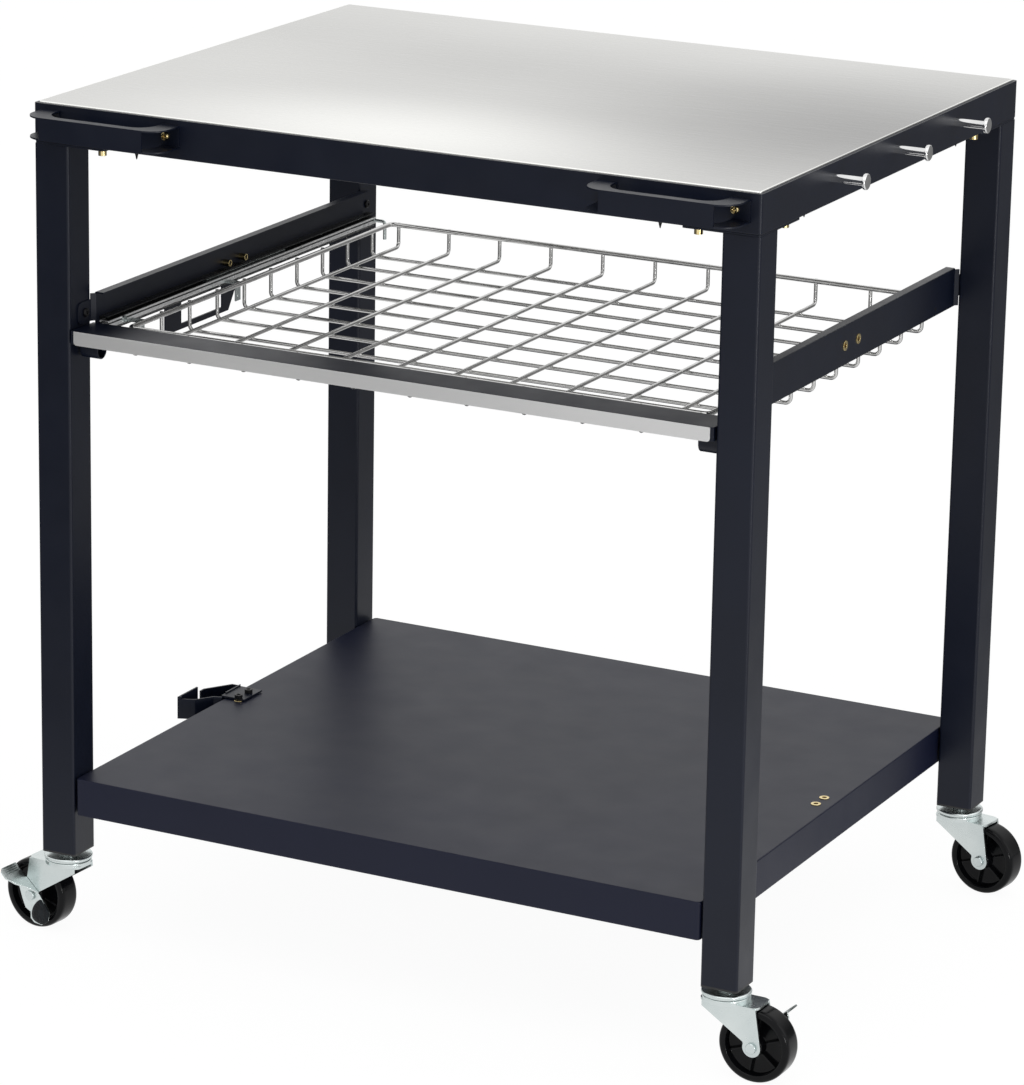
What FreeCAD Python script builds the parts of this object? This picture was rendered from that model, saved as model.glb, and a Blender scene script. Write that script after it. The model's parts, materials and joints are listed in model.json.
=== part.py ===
import FreeCAD, Part
import math
import os

# Outdoor pizza oven table: stainless top on a steel frame, pull-out wire basket, shelf, casters.
# Millimetres. X to the right, Y to the rear, Z up. The floor is Z = 0 under the table's centre.

V = FreeCAD.Vector

# Overall
table_width = 800.0
table_depth = 640.0
table_height = 890.0

# Sheet and clearances
sheet = 1.6
thin_sheet = 1.5
running_gap = 0.05
hole_gap = 0.1
body_gap = 0.3
touch_gap = 0.1

# Top
panel_thickness = 1.6
panel_inset = 3.0
panel_corner = 4.0
apron_height = 41.0
apron_corner = 3.0
top_flange_width = 36.0
bottom_flange_width = 40.0

# Legs
leg_size = 40.0
leg_wall = 1.6
leg_corner = 3.0
leg_bottom = 94.5
corner_plate_thickness = 2.0
corner_plate_x = 82.0
corner_plate_y = 91.0
corner_plate_bevel = 28.0
corner_plate_inset = 0.6
corner_plate_round = 2.5
plug_depth = 24.0
plug_foot = 2.0
plug_gap = 0.15

# Corner bolts and brace screws, measured from the frame's outer faces
corner_bolt_in = 15.0
corner_bolt_side_in = 13.0
corner_bolt_along_x = 71.0
corner_bolt_along_y = 83.0
corner_bolt_d = 5.0
corner_bolt_head_d = 8.5
corner_bolt_head_h = 6.5
corner_washer_d = 10.0
corner_washer_h = 1.0
corner_socket_d = 4.4
nut_across = 8.0
nut_height = 4.0
bolt_end = 3.0
brace_screw_along_x = 111.0
brace_screw_along_y = 130.0
brace_screw_in = 15.0
brace_screw_side_in = 14.0
brace_screw_d = 3.5
brace_screw_point = 9.0
brace_width = 18.0
brace_thickness = 2.0
brace_end = 7.0
brace_round = 3.0
brace_head_h = 2.2

# Handles
handle_length = 159.0
handle_hole_pitch = 128.0
handle_reach = 40.0
handle_height = 23.0
handle_grip = 10.0
handle_pad = 20.0
handle_outer_radius = 22.0
handle_inner_radius = 20.0
handle_centre_x = 309.5
handle_below_top = 18.5
handle_screw_d = 5.0
handle_screw_head_d = 9.0
handle_screw_head_h = 2.8
handle_screw_slot = 1.0
handle_screw_slot_length = 4.4
handle_screw_slot_depth = 1.4
handle_screw_end = 7.0

# Tool hooks on the right side
hook_pitch = 154.0
hook_middle_y = -3.0
hook_below_top = 16.0
hook_d = 8.5
hook_length = 37.0
hook_head_d = 16.0
hook_head_h = 4.0
hook_head_round = 1.2
hook_thread_d = 6.0
hook_thread_end = 8.0
hook_nut_across = 10.0
hook_nut_height = 5.0

# Shelf
shelf_top = 179.3
shelf_height = 40.0
shelf_end_gap = 2.0
shelf_corner = 5.0
shelf_return = 12.0
shelf_rib_height = 18.0
shelf_rib_width = 60.0
shelf_bolt_d = 6.0
shelf_bolt_pitch = 17.0
shelf_bolt_head_d = 10.0
shelf_bolt_head_h = 4.0
shelf_bolt_reach = 12.0
shelf_nut_d = 9.0
shelf_nut_flange_d = 13.0
shelf_nut_length = 12.0

# Basket rails between the legs
rail_bottom = 650.0
rail_top = 690.5
rail_inset = 3.7
rail_flange = 10.3
rail_half_length = 278.0
ear_bottom = 660.5
ear_top = 683.0
ear_reach = 306.0
joggle_length = 4.0
joggle_shift = 0.6
ear_corner = 6.0
rail_screw_y = 292.6
rail_screw_z = 671.5
rail_screw_d = 5.0
rail_screw_head_d = 9.2
rail_screw_head_h = 2.6
rail_screw_head_round = 1.6
rail_screw_socket_d = 3.2
rail_screw_socket_h = 1.4
rail_screw_end = 8.0
rivet_pitch = 33.0
rivet_shift = 8.0
rivet_z = 669.5
rivet_barrel_d = 7.0
rivet_bore_d = 5.0
rivet_flange_d = 10.5
rivet_flange_h = 0.8
rivet_length = 9.5
shelf_rivet_x = 341.0
shelf_rivet_pitch = 21.4
shelf_rivet_shift = 6.0

# Ball slides
slide_bottom = 648.5
slide_height = 15.5
slide_depth = 11.0
slide_wall = 1.2
slide_front = -272.0
slide_rear = 288.0
slide_ball_d = 2.4
slide_outer_short = 2.0
slide_inner_short = 2.2
slide_screw_d = 4.0
slide_screw_head_d = 6.8
slide_screw_head_h = 1.0
slide_screw_front = 45.0
slide_screw_rear = 60.0
cage_length = 165.0
cage_middle_y = 8.0
cage_wall = 0.7
cage_reach = 2.2
cage_bridge_gap = 1.2
balls_per_row = 8
cage_end = 10.0
ball_from_face = 5.0

# Basket
wire_d = 4.0
rim_d = 5.4
rim_half_width = 325.4
rim_front = -262.0
rim_rear = 289.5
rim_z = 653.0
wire_top = 654.5
floor_z = 622.5
wire_bend = 6.0
long_wire_count = 11
long_wire_pitch = 63.6
cross_wire_count = 9
cross_wire_front = -191.6
cross_wire_pitch = 55.9

# Basket front
front_bar_half = 358.0
front_face_y = -322.0
front_bar_back = -278.5
front_bottom = 644.0
front_top = 658.5
strip_half = 354.5
strip_thickness = 1.0
strip_corner = 3.5
strip_below_top = 0.2
front_bar_lift = 0.5
clip_inner = 335.5
clip_front = -307.0
clip_bottom = 627.0
clip_radius = 9.0
clip_rear_up = 7.0
clip_roof_short = 1.2
slide_tab_reach = 7.2
slide_tab_drop = 2.5
link_rod_d = 3.8
link_rod_bend = 3.0
link_rod_drop = 17.0
link_rod_in = 4.0
link_tab_front = 38.0
link_tab_middle = {-1: -40.0, 1: -10.0}
link_long_drop = 20.0
link_short_drop = 12.0
link_long_width = 10.0
link_short_width = 12.0
link_hole_d = 3.2
link_hole_up = 5.0
basket_screw_back = 28.0
basket_screw_head_d = 7.2
basket_screw_head_h = 2.2

# Holder brackets on the left
holder_sheet = 2.0
holder_out = 36.0
upper_holder_front = -82.0
upper_holder_rear = 67.0
upper_holder_arm = 32.0
upper_holder_bottom = 597.0
upper_holder_shoulder = 664.0
upper_holder_top = 686.0
upper_holder_strap = 6.0
upper_holder_narrow = 6.0
upper_holder_cut_y = 20.0
upper_holder_cut_z = 30.0
holder_head_d = 8.8
holder_head_h = 4.2
holder_side_head_h = 2.8
holder_socket_d = 4.4
holder_socket_h = 2.4
lower_holder_top = 177.0
lower_holder_bottom = 158.5
pocket_slot_y = -10.0
pocket_slot = 6.5
pocket_slot_up = 8.0
pocket_near_rise = 4.0
pocket_front_rise = 6.5
pocket_mount = 27.0
pocket_mount_front_y = -18.0
pocket_mount_rear_y = 20.0
pocket_plan = ((-398.5, -50.0), (-398.5, 5.0), (-379.5, 35.0), (-370.0, 35.0), (-360.0, 20.0),
               (-360.0, -21.0), (-368.5, -24.0), (-380.6, -42.7))

# Casters
caster_wheel_d = 76.0
caster_wheel_width = 26.0
caster_trail = 36.0
caster_race_d = 50.5
caster_stem_d = 10.0
caster_side_gap = 1.0
fork_sheet = 2.5
fork_top = 79.5
fork_back = 23.0
fork_round = 8.0
fork_shoulder = 5.0
fork_eye_r = 9.6
race_gap = 0.35
race_step = 3.6
race_cup_h = 4.5
stem_neck_r = 9.0
stem_reach = 20.0
stem_tail = 0.5
race_cup_round = 1.8
race_round = 1.4
race_short = 1.0
fork_front = 41.0
fork_arm_back = 19.0
fork_arm_front = 39.0
fork_knee = 6.8
axle_d = 6.0
bush_d = 10.0
axle_head_d = 11.0
axle_head_h = 3.2
axle_head_round = 1.3
wheel_tread_round = 3.5
wheel_rim = 8.0
wheel_web = 4.0
wheel_hub_r = 10.0
wheel_rib = 2.0
wheel_rib_count = 6
wheel_rib_back = 4.0
wheel_rib_turn = -20.0
brake_thickness = 2.0
brake_angle = 41.0
brake_off_axle = 9.4
brake_tip = 37.0
brake_root = 7.0
brake_tread = ((0.0, 22.0), (3.0, 26.0), (12.0, 27.0), (22.0, 20.0), (30.0, 10.0), (40.0, 2.0))
brake_groove = 1.1
brake_groove_pitch = 2.4
brake_groove_count = 4
brake_groove_length = 22.0
brake_plate = ((24.0, 24.0), (16.0, 8.0), (11.4, -6.2), (7.3, -15.7), (0.6, -19.0))
brake_lobe = ((0.5, -26.0), (-4.0, -30.0), (-14.0, -31.0), (-22.0, -25.0), (-24.0, -15.0), (-14.0, -1.0))
caster_heading = {"front_left": 174.0, "front_right": -0.8, "rear_left": 188.0, "rear_right": -8.3}
braked = ("front_left", "front_right")

# Worked out from the sizes above
half_w = table_width / 2
handle_centre_z = table_height - handle_below_top
hook_z = table_height - hook_below_top
link_rod_low = rim_z - link_rod_drop
half_d = table_depth / 2
apron_bottom = table_height - apron_height
apron_top = table_height - panel_thickness
leg_inner_x = half_w - leg_size
leg_x = half_w - leg_size / 2
leg_y = half_d - leg_size / 2
leg_top = apron_bottom - corner_plate_thickness
shelf_half = leg_inner_x - shelf_end_gap
shelf_bottom = shelf_top - shelf_height
rail_out = leg_inner_x - rail_inset
rail_in = rail_out - thin_sheet
slide_face = rail_in - slide_depth
race_low = fork_top
race_split = race_low + race_step
wheel_r = caster_wheel_d / 2
axle_z = wheel_r
wire_out_x = rim_half_width + (rim_d + wire_d) / 2 + touch_gap
wire_front = rim_front - (rim_d + wire_d) / 2 - touch_gap
wire_rear = rim_rear + (rim_d + wire_d) / 2 + touch_gap
long_floor_z = floor_z + wire_d + touch_gap
slide_middle_z = slide_bottom + slide_height / 2
corners = {
    "front_left": (-1, -1),
    "front_right": (1, -1),
    "rear_left": (-1, 1),
    "rear_right": (1, 1),
}
sides = {"left": -1, "right": 1}


def box(x0, x1, y0, y1, z0, z1):
    low = V(min(x0, x1), min(y0, y1), min(z0, z1))
    return Part.makeBox(abs(x1 - x0), abs(y1 - y0), abs(z1 - z0), low)


def rod(r, start, end):
    way = V(*end) - V(*start)
    return Part.makeCylinder(r, way.Length, V(*start), way)


def cone(r0, r1, start, end):
    way = V(*end) - V(*start)
    return Part.makeCone(r0, r1, way.Length, V(*start), way)


def join(shapes):
    result = shapes[0]
    if len(shapes) > 1:
        result = result.fuse(shapes[1:])
    return result.removeSplitter()


def cut(shape, tools):
    return shape.cut(tools) if tools else shape


def plate(points, z0, z1):
    corner_points = [V(x, y, z0) for x, y in points]
    face = Part.Face(Part.makePolygon(corner_points + corner_points[:1]))
    return face.extrude(V(0, 0, z1 - z0))


def round_vertical(shape, radius, test=None):
    edges = []
    for edge in shape.Edges:
        ends = edge.Vertexes
        if len(ends) != 2:
            continue
        way = ends[1].Point - ends[0].Point
        if abs(way.x) < 0.01 and abs(way.y) < 0.01 and abs(way.z) > 1.0:
            if test is None or test(edge.CenterOfMass):
                edges.append(edge)
    return shape.makeFillet(radius, edges) if edges else shape


def group(shapes):
    return Part.makeCompound(shapes)


def hex_nut(across, height, bore_r, centre, axis):
    r = across / math.sqrt(3)
    points = [V(r * math.cos(math.radians(60 * i)), r * math.sin(math.radians(60 * i)), 0) for i in range(6)]
    solid = Part.Face(Part.makePolygon(points + points[:1])).extrude(V(0, 0, height))
    solid = solid.cut(Part.makeCylinder(bore_r, height))
    turn = FreeCAD.Rotation(V(0, 0, 1), V(*axis))
    solid.Placement = FreeCAD.Placement(V(*centre), turn)
    return solid


def tube_path(points, radius, bend):
    """A round wire along straight runs with equal bends at the inner points."""
    edges = []
    start = V(*points[0])
    for before, corner, after in zip(points, points[1:], points[2:]):
        corner_v = V(*corner)
        way_in = (corner_v - V(*before)).normalize()
        way_out = (V(*after) - corner_v).normalize()
        turn = math.acos(max(-1.0, min(1.0, way_in.dot(way_out))))
        back = bend * math.tan(turn / 2)
        arc_start = corner_v - way_in * back
        arc_end = corner_v + way_out * back
        inward = (way_out - way_in).normalize()
        arc_mid = corner_v + inward * (bend / math.cos(turn / 2) - bend)
        edges.append(Part.LineSegment(start, arc_start).toShape())
        edges.append(Part.Arc(arc_start, arc_mid, arc_end).toShape())
        start = arc_end
    edges.append(Part.LineSegment(start, V(*points[-1])).toShape())
    first = V(*points[1]) - V(*points[0])
    circle = Part.Wire(Part.Circle(V(*points[0]), first, radius).toShape())
    return Part.Wire(edges).makePipeShell([circle], True, False)


def mirror_x(shape):
    return shape.mirror(V(0, 0, 0), V(1, 0, 0))


def corner_bolt_places():
    places = []
    for sx, sy in corners.values():
        places.append((sx * (half_w - corner_bolt_along_x), sy * (half_d - corner_bolt_in)))
        places.append((sx * (half_w - corner_bolt_side_in), sy * (half_d - corner_bolt_along_y)))
    return places


def brace_screw_places(sx, sy):
    front = (sx * (half_w - brace_screw_along_x), sy * (half_d - brace_screw_in))
    side = (sx * (half_w - brace_screw_side_in), sy * (half_d - brace_screw_along_y))
    return [front, side]


def handle_screw_places():
    places = []
    for sx in sides.values():
        for end in (-1, 1):
            places.append((sx * handle_centre_x + end * handle_hole_pitch / 2, handle_centre_z))
    return places


def hook_places():
    return [hook_middle_y + step * hook_pitch for step in (-1, 0, 1)]


def rail_rivet_places(side):
    middle = side * rivet_shift
    return [middle - rivet_pitch / 2, middle + rivet_pitch / 2]


def shelf_rivet_places(side):
    middle = side * shelf_rivet_shift
    return [middle - shelf_rivet_pitch / 2, middle + shelf_rivet_pitch / 2]


def make_top_panel():
    panel = box(-half_w + panel_inset, half_w - panel_inset, -half_d + panel_inset, half_d - panel_inset,
                apron_top, table_height)
    panel = round_vertical(panel, panel_corner)
    top_edges = [e for e in panel.Edges if e.BoundBox.ZMin > table_height - 0.01]
    return panel.makeFillet(panel_thickness * 0.6, top_edges)


def make_top_frame():
    frame = round_vertical(box(-half_w, half_w, -half_d, half_d, apron_bottom, apron_top), apron_corner)
    low_edges = [e for e in frame.Edges if e.BoundBox.ZMax < apron_bottom + 0.01]
    frame = frame.makeFillet(sheet * 0.9, low_edges)
    wall_x = half_w - sheet
    wall_y = half_d - sheet
    tools = [
        box(-wall_x, wall_x, -wall_y, wall_y, apron_bottom + sheet, apron_top - sheet),
        box(-half_w + top_flange_width, half_w - top_flange_width,
            -half_d + top_flange_width, half_d - top_flange_width, apron_top - 2 * sheet, apron_top + 1),
        box(-half_w + bottom_flange_width, half_w - bottom_flange_width,
            -half_d + bottom_flange_width, half_d - bottom_flange_width,
            apron_bottom - 1, apron_bottom + 2 * sheet),
    ]
    through = 2 * sheet
    z0, z1 = apron_bottom - 1, apron_bottom + through
    for x, y in corner_bolt_places():
        tools.append(rod(corner_bolt_d / 2 + hole_gap, (x, y, z0), (x, y, z1)))
    for sx, sy in corners.values():
        for x, y in brace_screw_places(sx, sy):
            tools.append(rod(brace_screw_d / 2 + hole_gap, (x, y, z0), (x, y, z1)))
    for x, z in handle_screw_places():
        tools.append(rod(handle_screw_d / 2 + hole_gap, (x, -half_d - 1, z), (x, -half_d + through, z)))
    for y in hook_places():
        tools.append(rod(hook_thread_d / 2 + hole_gap, (half_w - through, y, hook_z),
                         (half_w + 1, y, hook_z)))
    return cut(frame, tools)


def make_corner_braces():
    braces = []
    z0 = apron_bottom + sheet
    hole_r = brace_screw_d / 2 + hole_gap
    for sx, sy in corners.values():
        (ax, ay), (bx, by) = brace_screw_places(sx, sy)
        length = math.hypot(bx - ax, by - ay)
        bar = box(-brace_end, length + brace_end, -brace_width / 2, brace_width / 2, 0, brace_thickness)
        holes = [rod(hole_r, (at, 0, -1), (at, 0, brace_thickness + 1)) for at in (0, length)]
        bar = round_vertical(cut(bar, holes), brace_round)
        angle = math.degrees(math.atan2(by - ay, bx - ax))
        bar.Placement = FreeCAD.Placement(V(ax, ay, z0), FreeCAD.Rotation(V(0, 0, 1), angle))
        braces.append(bar)
    return group(braces)


def make_brace_screws():
    screws = []
    z_head = apron_bottom + sheet + brace_thickness
    z_taper = apron_bottom - brace_screw_point * 0.4
    z_point = apron_bottom - brace_screw_point
    r = brace_screw_d / 2
    for sx, sy in corners.values():
        for x, y in brace_screw_places(sx, sy):
            screws.append(join([
                cone(r * 2.1, r, (x, y, z_head), (x, y, z_head + brace_head_h)),
                rod(r, (x, y, z_taper), (x, y, z_head)),
                cone(r, r / 4, (x, y, z_taper), (x, y, z_point)),
            ]))
    return group(screws)


def make_leg(sx, sy):
    outer = box(0, leg_size, 0, leg_size, leg_bottom, leg_top)
    outer = round_vertical(outer, leg_corner)
    inner = box(leg_wall, leg_size - leg_wall, leg_wall, leg_size - leg_wall, leg_bottom - 1, leg_top + 1)
    inner = round_vertical(inner, leg_corner - leg_wall)
    edge = corner_plate_inset
    top = plate([(edge, edge), (corner_plate_x, edge), (corner_plate_x, corner_plate_bevel),
                 (corner_plate_bevel, corner_plate_y), (edge, corner_plate_y)], leg_top, apron_bottom)
    top = round_vertical(top, corner_plate_round)
    tools = []
    for x, y in ((corner_bolt_along_x, corner_bolt_in), (corner_bolt_side_in, corner_bolt_along_y)):
        tools.append(rod(corner_bolt_d / 2 + hole_gap, (x, y, leg_top - 1), (x, y, apron_bottom + 1)))
    # holes in the inner face: the rail's screw and the shelf's rivet nuts
    face, back = leg_size + 1, leg_size - leg_wall - 1
    y, z = half_d - rail_screw_y, rail_screw_z
    tools.append(rod(rail_screw_d / 2 + hole_gap, (back, y, z), (face, y, z)))
    for z in shelf_bolt_heights():
        tools.append(rod(shelf_nut_d / 2, (back, leg_size / 2, z), (face, leg_size / 2, z)))
    leg = cut(join([outer.cut(inner), top]), tools)
    if sx > 0:
        leg = mirror_x(leg)
        leg.translate(V(half_w, 0, 0))
    else:
        leg.translate(V(-half_w, 0, 0))
    if sy > 0:
        leg = leg.mirror(V(0, 0, 0), V(0, 1, 0))
        leg.translate(V(0, half_d, 0))
    else:
        leg.translate(V(0, -half_d, 0))
    return leg


def shelf_bolt_heights():
    middle = (shelf_top + shelf_bottom) / 2
    return [middle - shelf_bolt_pitch / 2, middle + shelf_bolt_pitch / 2]


def make_leg_plugs():
    plugs = []
    half = leg_size / 2
    inside = half - leg_wall - plug_gap
    z_foot = leg_bottom - plug_foot
    z_top = leg_bottom + plug_depth
    for sx, sy in corners.values():
        x, y = sx * leg_x, sy * leg_y
        body = box(x - inside, x + inside, y - inside, y + inside, leg_bottom, z_top)
        body = round_vertical(body, leg_corner - leg_wall)
        foot = round_vertical(box(x - half, x + half, y - half, y + half, z_foot, leg_bottom), leg_corner)
        bore = rod(caster_stem_d / 2 + running_gap, (x, y, z_foot - 1), (x, y, z_top + 1))
        plugs.append(join([body, foot]).cut(bore))
    return group(plugs)


def make_corner_bolts():
    bolts = []
    head_top = leg_top - corner_washer_h
    head_low = head_top - corner_bolt_head_h
    end = apron_bottom + sheet + nut_height + bolt_end
    for x, y in corner_bolt_places():
        head = rod(corner_bolt_head_d / 2, (x, y, head_low), (x, y, head_top))
        socket = rod(corner_socket_d / 2, (x, y, head_low), (x, y, (head_low + head_top) / 2))
        washer = rod(corner_washer_d / 2, (x, y, head_top), (x, y, leg_top))
        shank = rod(corner_bolt_d / 2, (x, y, head_top), (x, y, end))
        bolts.append(join([head.cut(socket), washer, shank]))
    return group(bolts)


def make_corner_nuts():
    nuts = []
    bore_r = corner_bolt_d / 2 + running_gap
    for x, y in corner_bolt_places():
        nuts.append(hex_nut(nut_across, nut_height, bore_r, (x, y, apron_bottom + sheet), (0, 0, 1)))
    return group(nuts)


def make_handle(side):
    """Bent bow: top and bottom flanges, a front web and two foot plates."""
    half = handle_length / 2
    ro = handle_outer_radius
    ri = handle_inner_radius
    reach = handle_reach
    inner_half = half - handle_pad
    inner_reach = reach - handle_grip
    q = math.sqrt(0.5)

    def arc(a, b, c):
        return Part.Arc(V(a[0], -a[1], 0), V(b[0], -b[1], 0), V(c[0], -c[1], 0)).toShape()

    def line(a, b):
        return Part.LineSegment(V(a[0], -a[1], 0), V(b[0], -b[1], 0)).toShape()

    outline = [
        line((-half, 0), (-half, reach - ro)),
        arc((-half, reach - ro), (-half + ro - ro * q, reach - ro + ro * q), (-half + ro, reach)),
        line((-half + ro, reach), (half - ro, reach)),
        arc((half - ro, reach), (half - ro + ro * q, reach - ro + ro * q), (half, reach - ro)),
        line((half, reach - ro), (half, 0)),
        line((half, 0), (inner_half, 0)),
        line((inner_half, 0), (inner_half, inner_reach - ri)),
        arc((inner_half, inner_reach - ri), (inner_half - ri + ri * q, inner_reach - ri + ri * q),
            (inner_half - ri, inner_reach)),
        line((inner_half - ri, inner_reach), (-inner_half + ri, inner_reach)),
        arc((-inner_half + ri, inner_reach), (-inner_half + ri - ri * q, inner_reach - ri + ri * q),
            (-inner_half, inner_reach - ri)),
        line((-inner_half, inner_reach - ri), (-inner_half, 0)),
        line((-inner_half, 0), (-half, 0)),
    ]
    z0 = handle_centre_z - handle_height / 2
    bow = Part.Face(Part.Wire(outline))
    lower = bow.extrude(V(0, 0, sheet))
    upper = lower.copy()
    upper.translate(V(0, 0, handle_height - sheet))
    pieces = [lower, upper, box(-inner_half, inner_half, -reach, -reach + sheet, 0, handle_height)]
    for end in (-1, 1):
        pieces.append(box(end * inner_half, end * half, -sheet, 0, 0, handle_height))
    handle = join(pieces)
    holes = []
    z = handle_height / 2
    for end in (-1, 1):
        at = end * handle_hole_pitch / 2
        holes.append(rod(handle_screw_d / 2 + hole_gap, (at, -2 * sheet, z), (at, 1, z)))
    handle = cut(handle, holes)
    handle.translate(V(side * handle_centre_x, -half_d, z0))
    return handle


def make_handle_screws():
    screws = []
    y_head = -half_d - sheet
    y_slot = y_head - handle_screw_slot_depth
    reach = handle_screw_head_d / 2
    half_slot = handle_screw_slot / 2
    half_length = handle_screw_slot_length / 2
    for x, z in handle_screw_places():
        head = Part.makeSphere(reach, V(x, y_head, z), V(0, -1, 0), 0, 90, 360)
        y_top = y_head - handle_screw_head_h
        head = head.common(box(x - reach, x + reach, y_top, y_head, z - reach, z + reach))
        slot = [box(x - half_length, x + half_length, y_head - reach, y_slot, z - half_slot, z + half_slot),
                box(x - half_slot, x + half_slot, y_head - reach, y_slot, z - half_length, z + half_length)]
        shank = rod(handle_screw_d / 2, (x, y_head, z), (x, -half_d + sheet + handle_screw_end, z))
        screws.append(join([head.cut(slot), shank]))
    return group(screws)


def make_handle_nuts():
    nuts = []
    bore_r = handle_screw_d / 2 + running_gap
    for x, z in handle_screw_places():
        nuts.append(hex_nut(nut_across, nut_height, bore_r, (x, -half_d + sheet, z), (0, 1, 0)))
    return group(nuts)


def make_tool_hooks():
    hooks = []
    x_head = half_w + hook_length
    for y in hook_places():
        shaft = rod(hook_d / 2, (half_w, y, hook_z), (x_head - hook_head_h, y, hook_z))
        head = rod(hook_head_d / 2, (x_head - hook_head_h, y, hook_z), (x_head, y, hook_z))
        head = head.makeFillet(hook_head_round, [e for e in head.Edges if e.BoundBox.XLength < 0.01])
        thread = rod(hook_thread_d / 2, (half_w - sheet - hook_thread_end, y, hook_z), (half_w, y, hook_z))
        hooks.append(join([shaft, head, thread]))
    return group(hooks)


def make_hook_nuts():
    nuts = []
    x = half_w - sheet
    bore_r = hook_thread_d / 2 + running_gap
    for y in hook_places():
        nuts.append(hex_nut(hook_nut_across, hook_nut_height, bore_r, (x, y, hook_z), (-1, 0, 0)))
    return group(nuts)


def make_shelf():
    shelf = box(-shelf_half, shelf_half, -half_d, half_d, shelf_bottom, shelf_top)
    shelf = round_vertical(shelf, shelf_corner)
    rims = [e for e in shelf.Edges if e.BoundBox.ZLength < 0.01]
    shelf = shelf.makeFillet(thin_sheet * 0.95, rims)
    in_x, in_y = shelf_half - thin_sheet, half_d - thin_sheet
    hollow = box(-in_x, in_x, -in_y, in_y, shelf_bottom + thin_sheet, shelf_top - thin_sheet)
    hollow = round_vertical(hollow, shelf_corner - thin_sheet)
    window = box(-shelf_half + shelf_return, shelf_half - shelf_return, -half_d + shelf_return,
                 half_d - shelf_return, shelf_bottom - 1, shelf_bottom + 2 * thin_sheet)
    tools = [hollow, window]
    for side in sides.values():
        for y in shelf_rivet_places(side):
            x = side * shelf_rivet_x
            tools.append(rod(rivet_barrel_d / 2 + running_gap, (x, y, shelf_top - 2 * thin_sheet),
                             (x, y, shelf_top + 1)))
        for sy in (-1, 1):
            y = sy * leg_y
            x_in, x_out = side * (in_x - thin_sheet), side * (shelf_half + 1)
            for z in shelf_bolt_heights():
                tools.append(rod(shelf_bolt_d / 2 + hole_gap, (x_in, y, z), (x_out, y, z)))
    return cut(shelf, tools)


def make_shelf_ribs():
    """Two hat-shaped stiffeners under the shelf, from the front flange to the rear flange."""
    ribs = []
    z1 = shelf_top - thin_sheet
    y1 = half_d - thin_sheet - touch_gap
    for x in (-shelf_half / 3, shelf_half / 3):
        out_x = shelf_rib_width / 2
        in_x = out_x - thin_sheet
        z0 = z1 - shelf_rib_height
        outer = box(x - out_x, x + out_x, -y1, y1, z0, z1)
        inner = box(x - in_x, x + in_x, -y1 - 1, y1 + 1, z0 + thin_sheet, z1 + 1)
        ribs.append(outer.cut(inner))
    return group(ribs)


def rivet_nut(origin, axis, barrel_d, length, bore_d, flange_d, flange_h):
    """Flange on the visible face, barrel along the axis behind it."""
    way = V(*axis)
    start = V(*origin)
    flange = Part.makeCylinder(flange_d / 2, flange_h, start - way * flange_h, way)
    barrel = Part.makeCylinder(barrel_d / 2, length, start, way)
    bore = Part.makeCylinder(bore_d / 2, length + flange_h + 2, start - way * (flange_h + 1), way)
    return join([flange, barrel]).cut(bore)


def make_rail_rivets():
    nuts = []
    for side in sides.values():
        for y in rail_rivet_places(side):
            nuts.append(rivet_nut((side * rail_out, y, rivet_z), (-side, 0, 0), rivet_barrel_d, rivet_length,
                                  rivet_bore_d, rivet_flange_d, rivet_flange_h))
    return group(nuts)


def make_shelf_rivets():
    nuts = []
    for side in sides.values():
        for y in shelf_rivet_places(side):
            nuts.append(rivet_nut((side * shelf_rivet_x, y, shelf_top), (0, 0, -1), rivet_barrel_d,
                                  rivet_length, rivet_bore_d, rivet_flange_d, rivet_flange_h))
    return group(nuts)


def make_leg_rivets():
    nuts = []
    barrel_d = shelf_nut_d - hole_gap
    bore_d = shelf_bolt_d + hole_gap
    for side in sides.values():
        for sy in (-1, 1):
            for z in shelf_bolt_heights():
                nuts.append(rivet_nut((side * leg_inner_x, sy * leg_y, z), (side, 0, 0), barrel_d,
                                      shelf_nut_length, bore_d, shelf_nut_flange_d, shelf_end_gap))
    return group(nuts)


def make_shelf_bolts():
    bolts = []
    for side in sides.values():
        x_face = side * (shelf_half - thin_sheet)
        x_head = x_face - side * shelf_bolt_head_h
        x_end = x_face + side * shelf_bolt_reach
        for sy in (-1, 1):
            for z in shelf_bolt_heights():
                y = sy * leg_y
                head = rod(shelf_bolt_head_d / 2, (x_head, y, z), (x_face, y, z))
                shank = rod(shelf_bolt_d / 2, (x_face, y, z), (x_end, y, z))
                bolts.append(join([head, shank]))
    return group(bolts)


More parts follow.
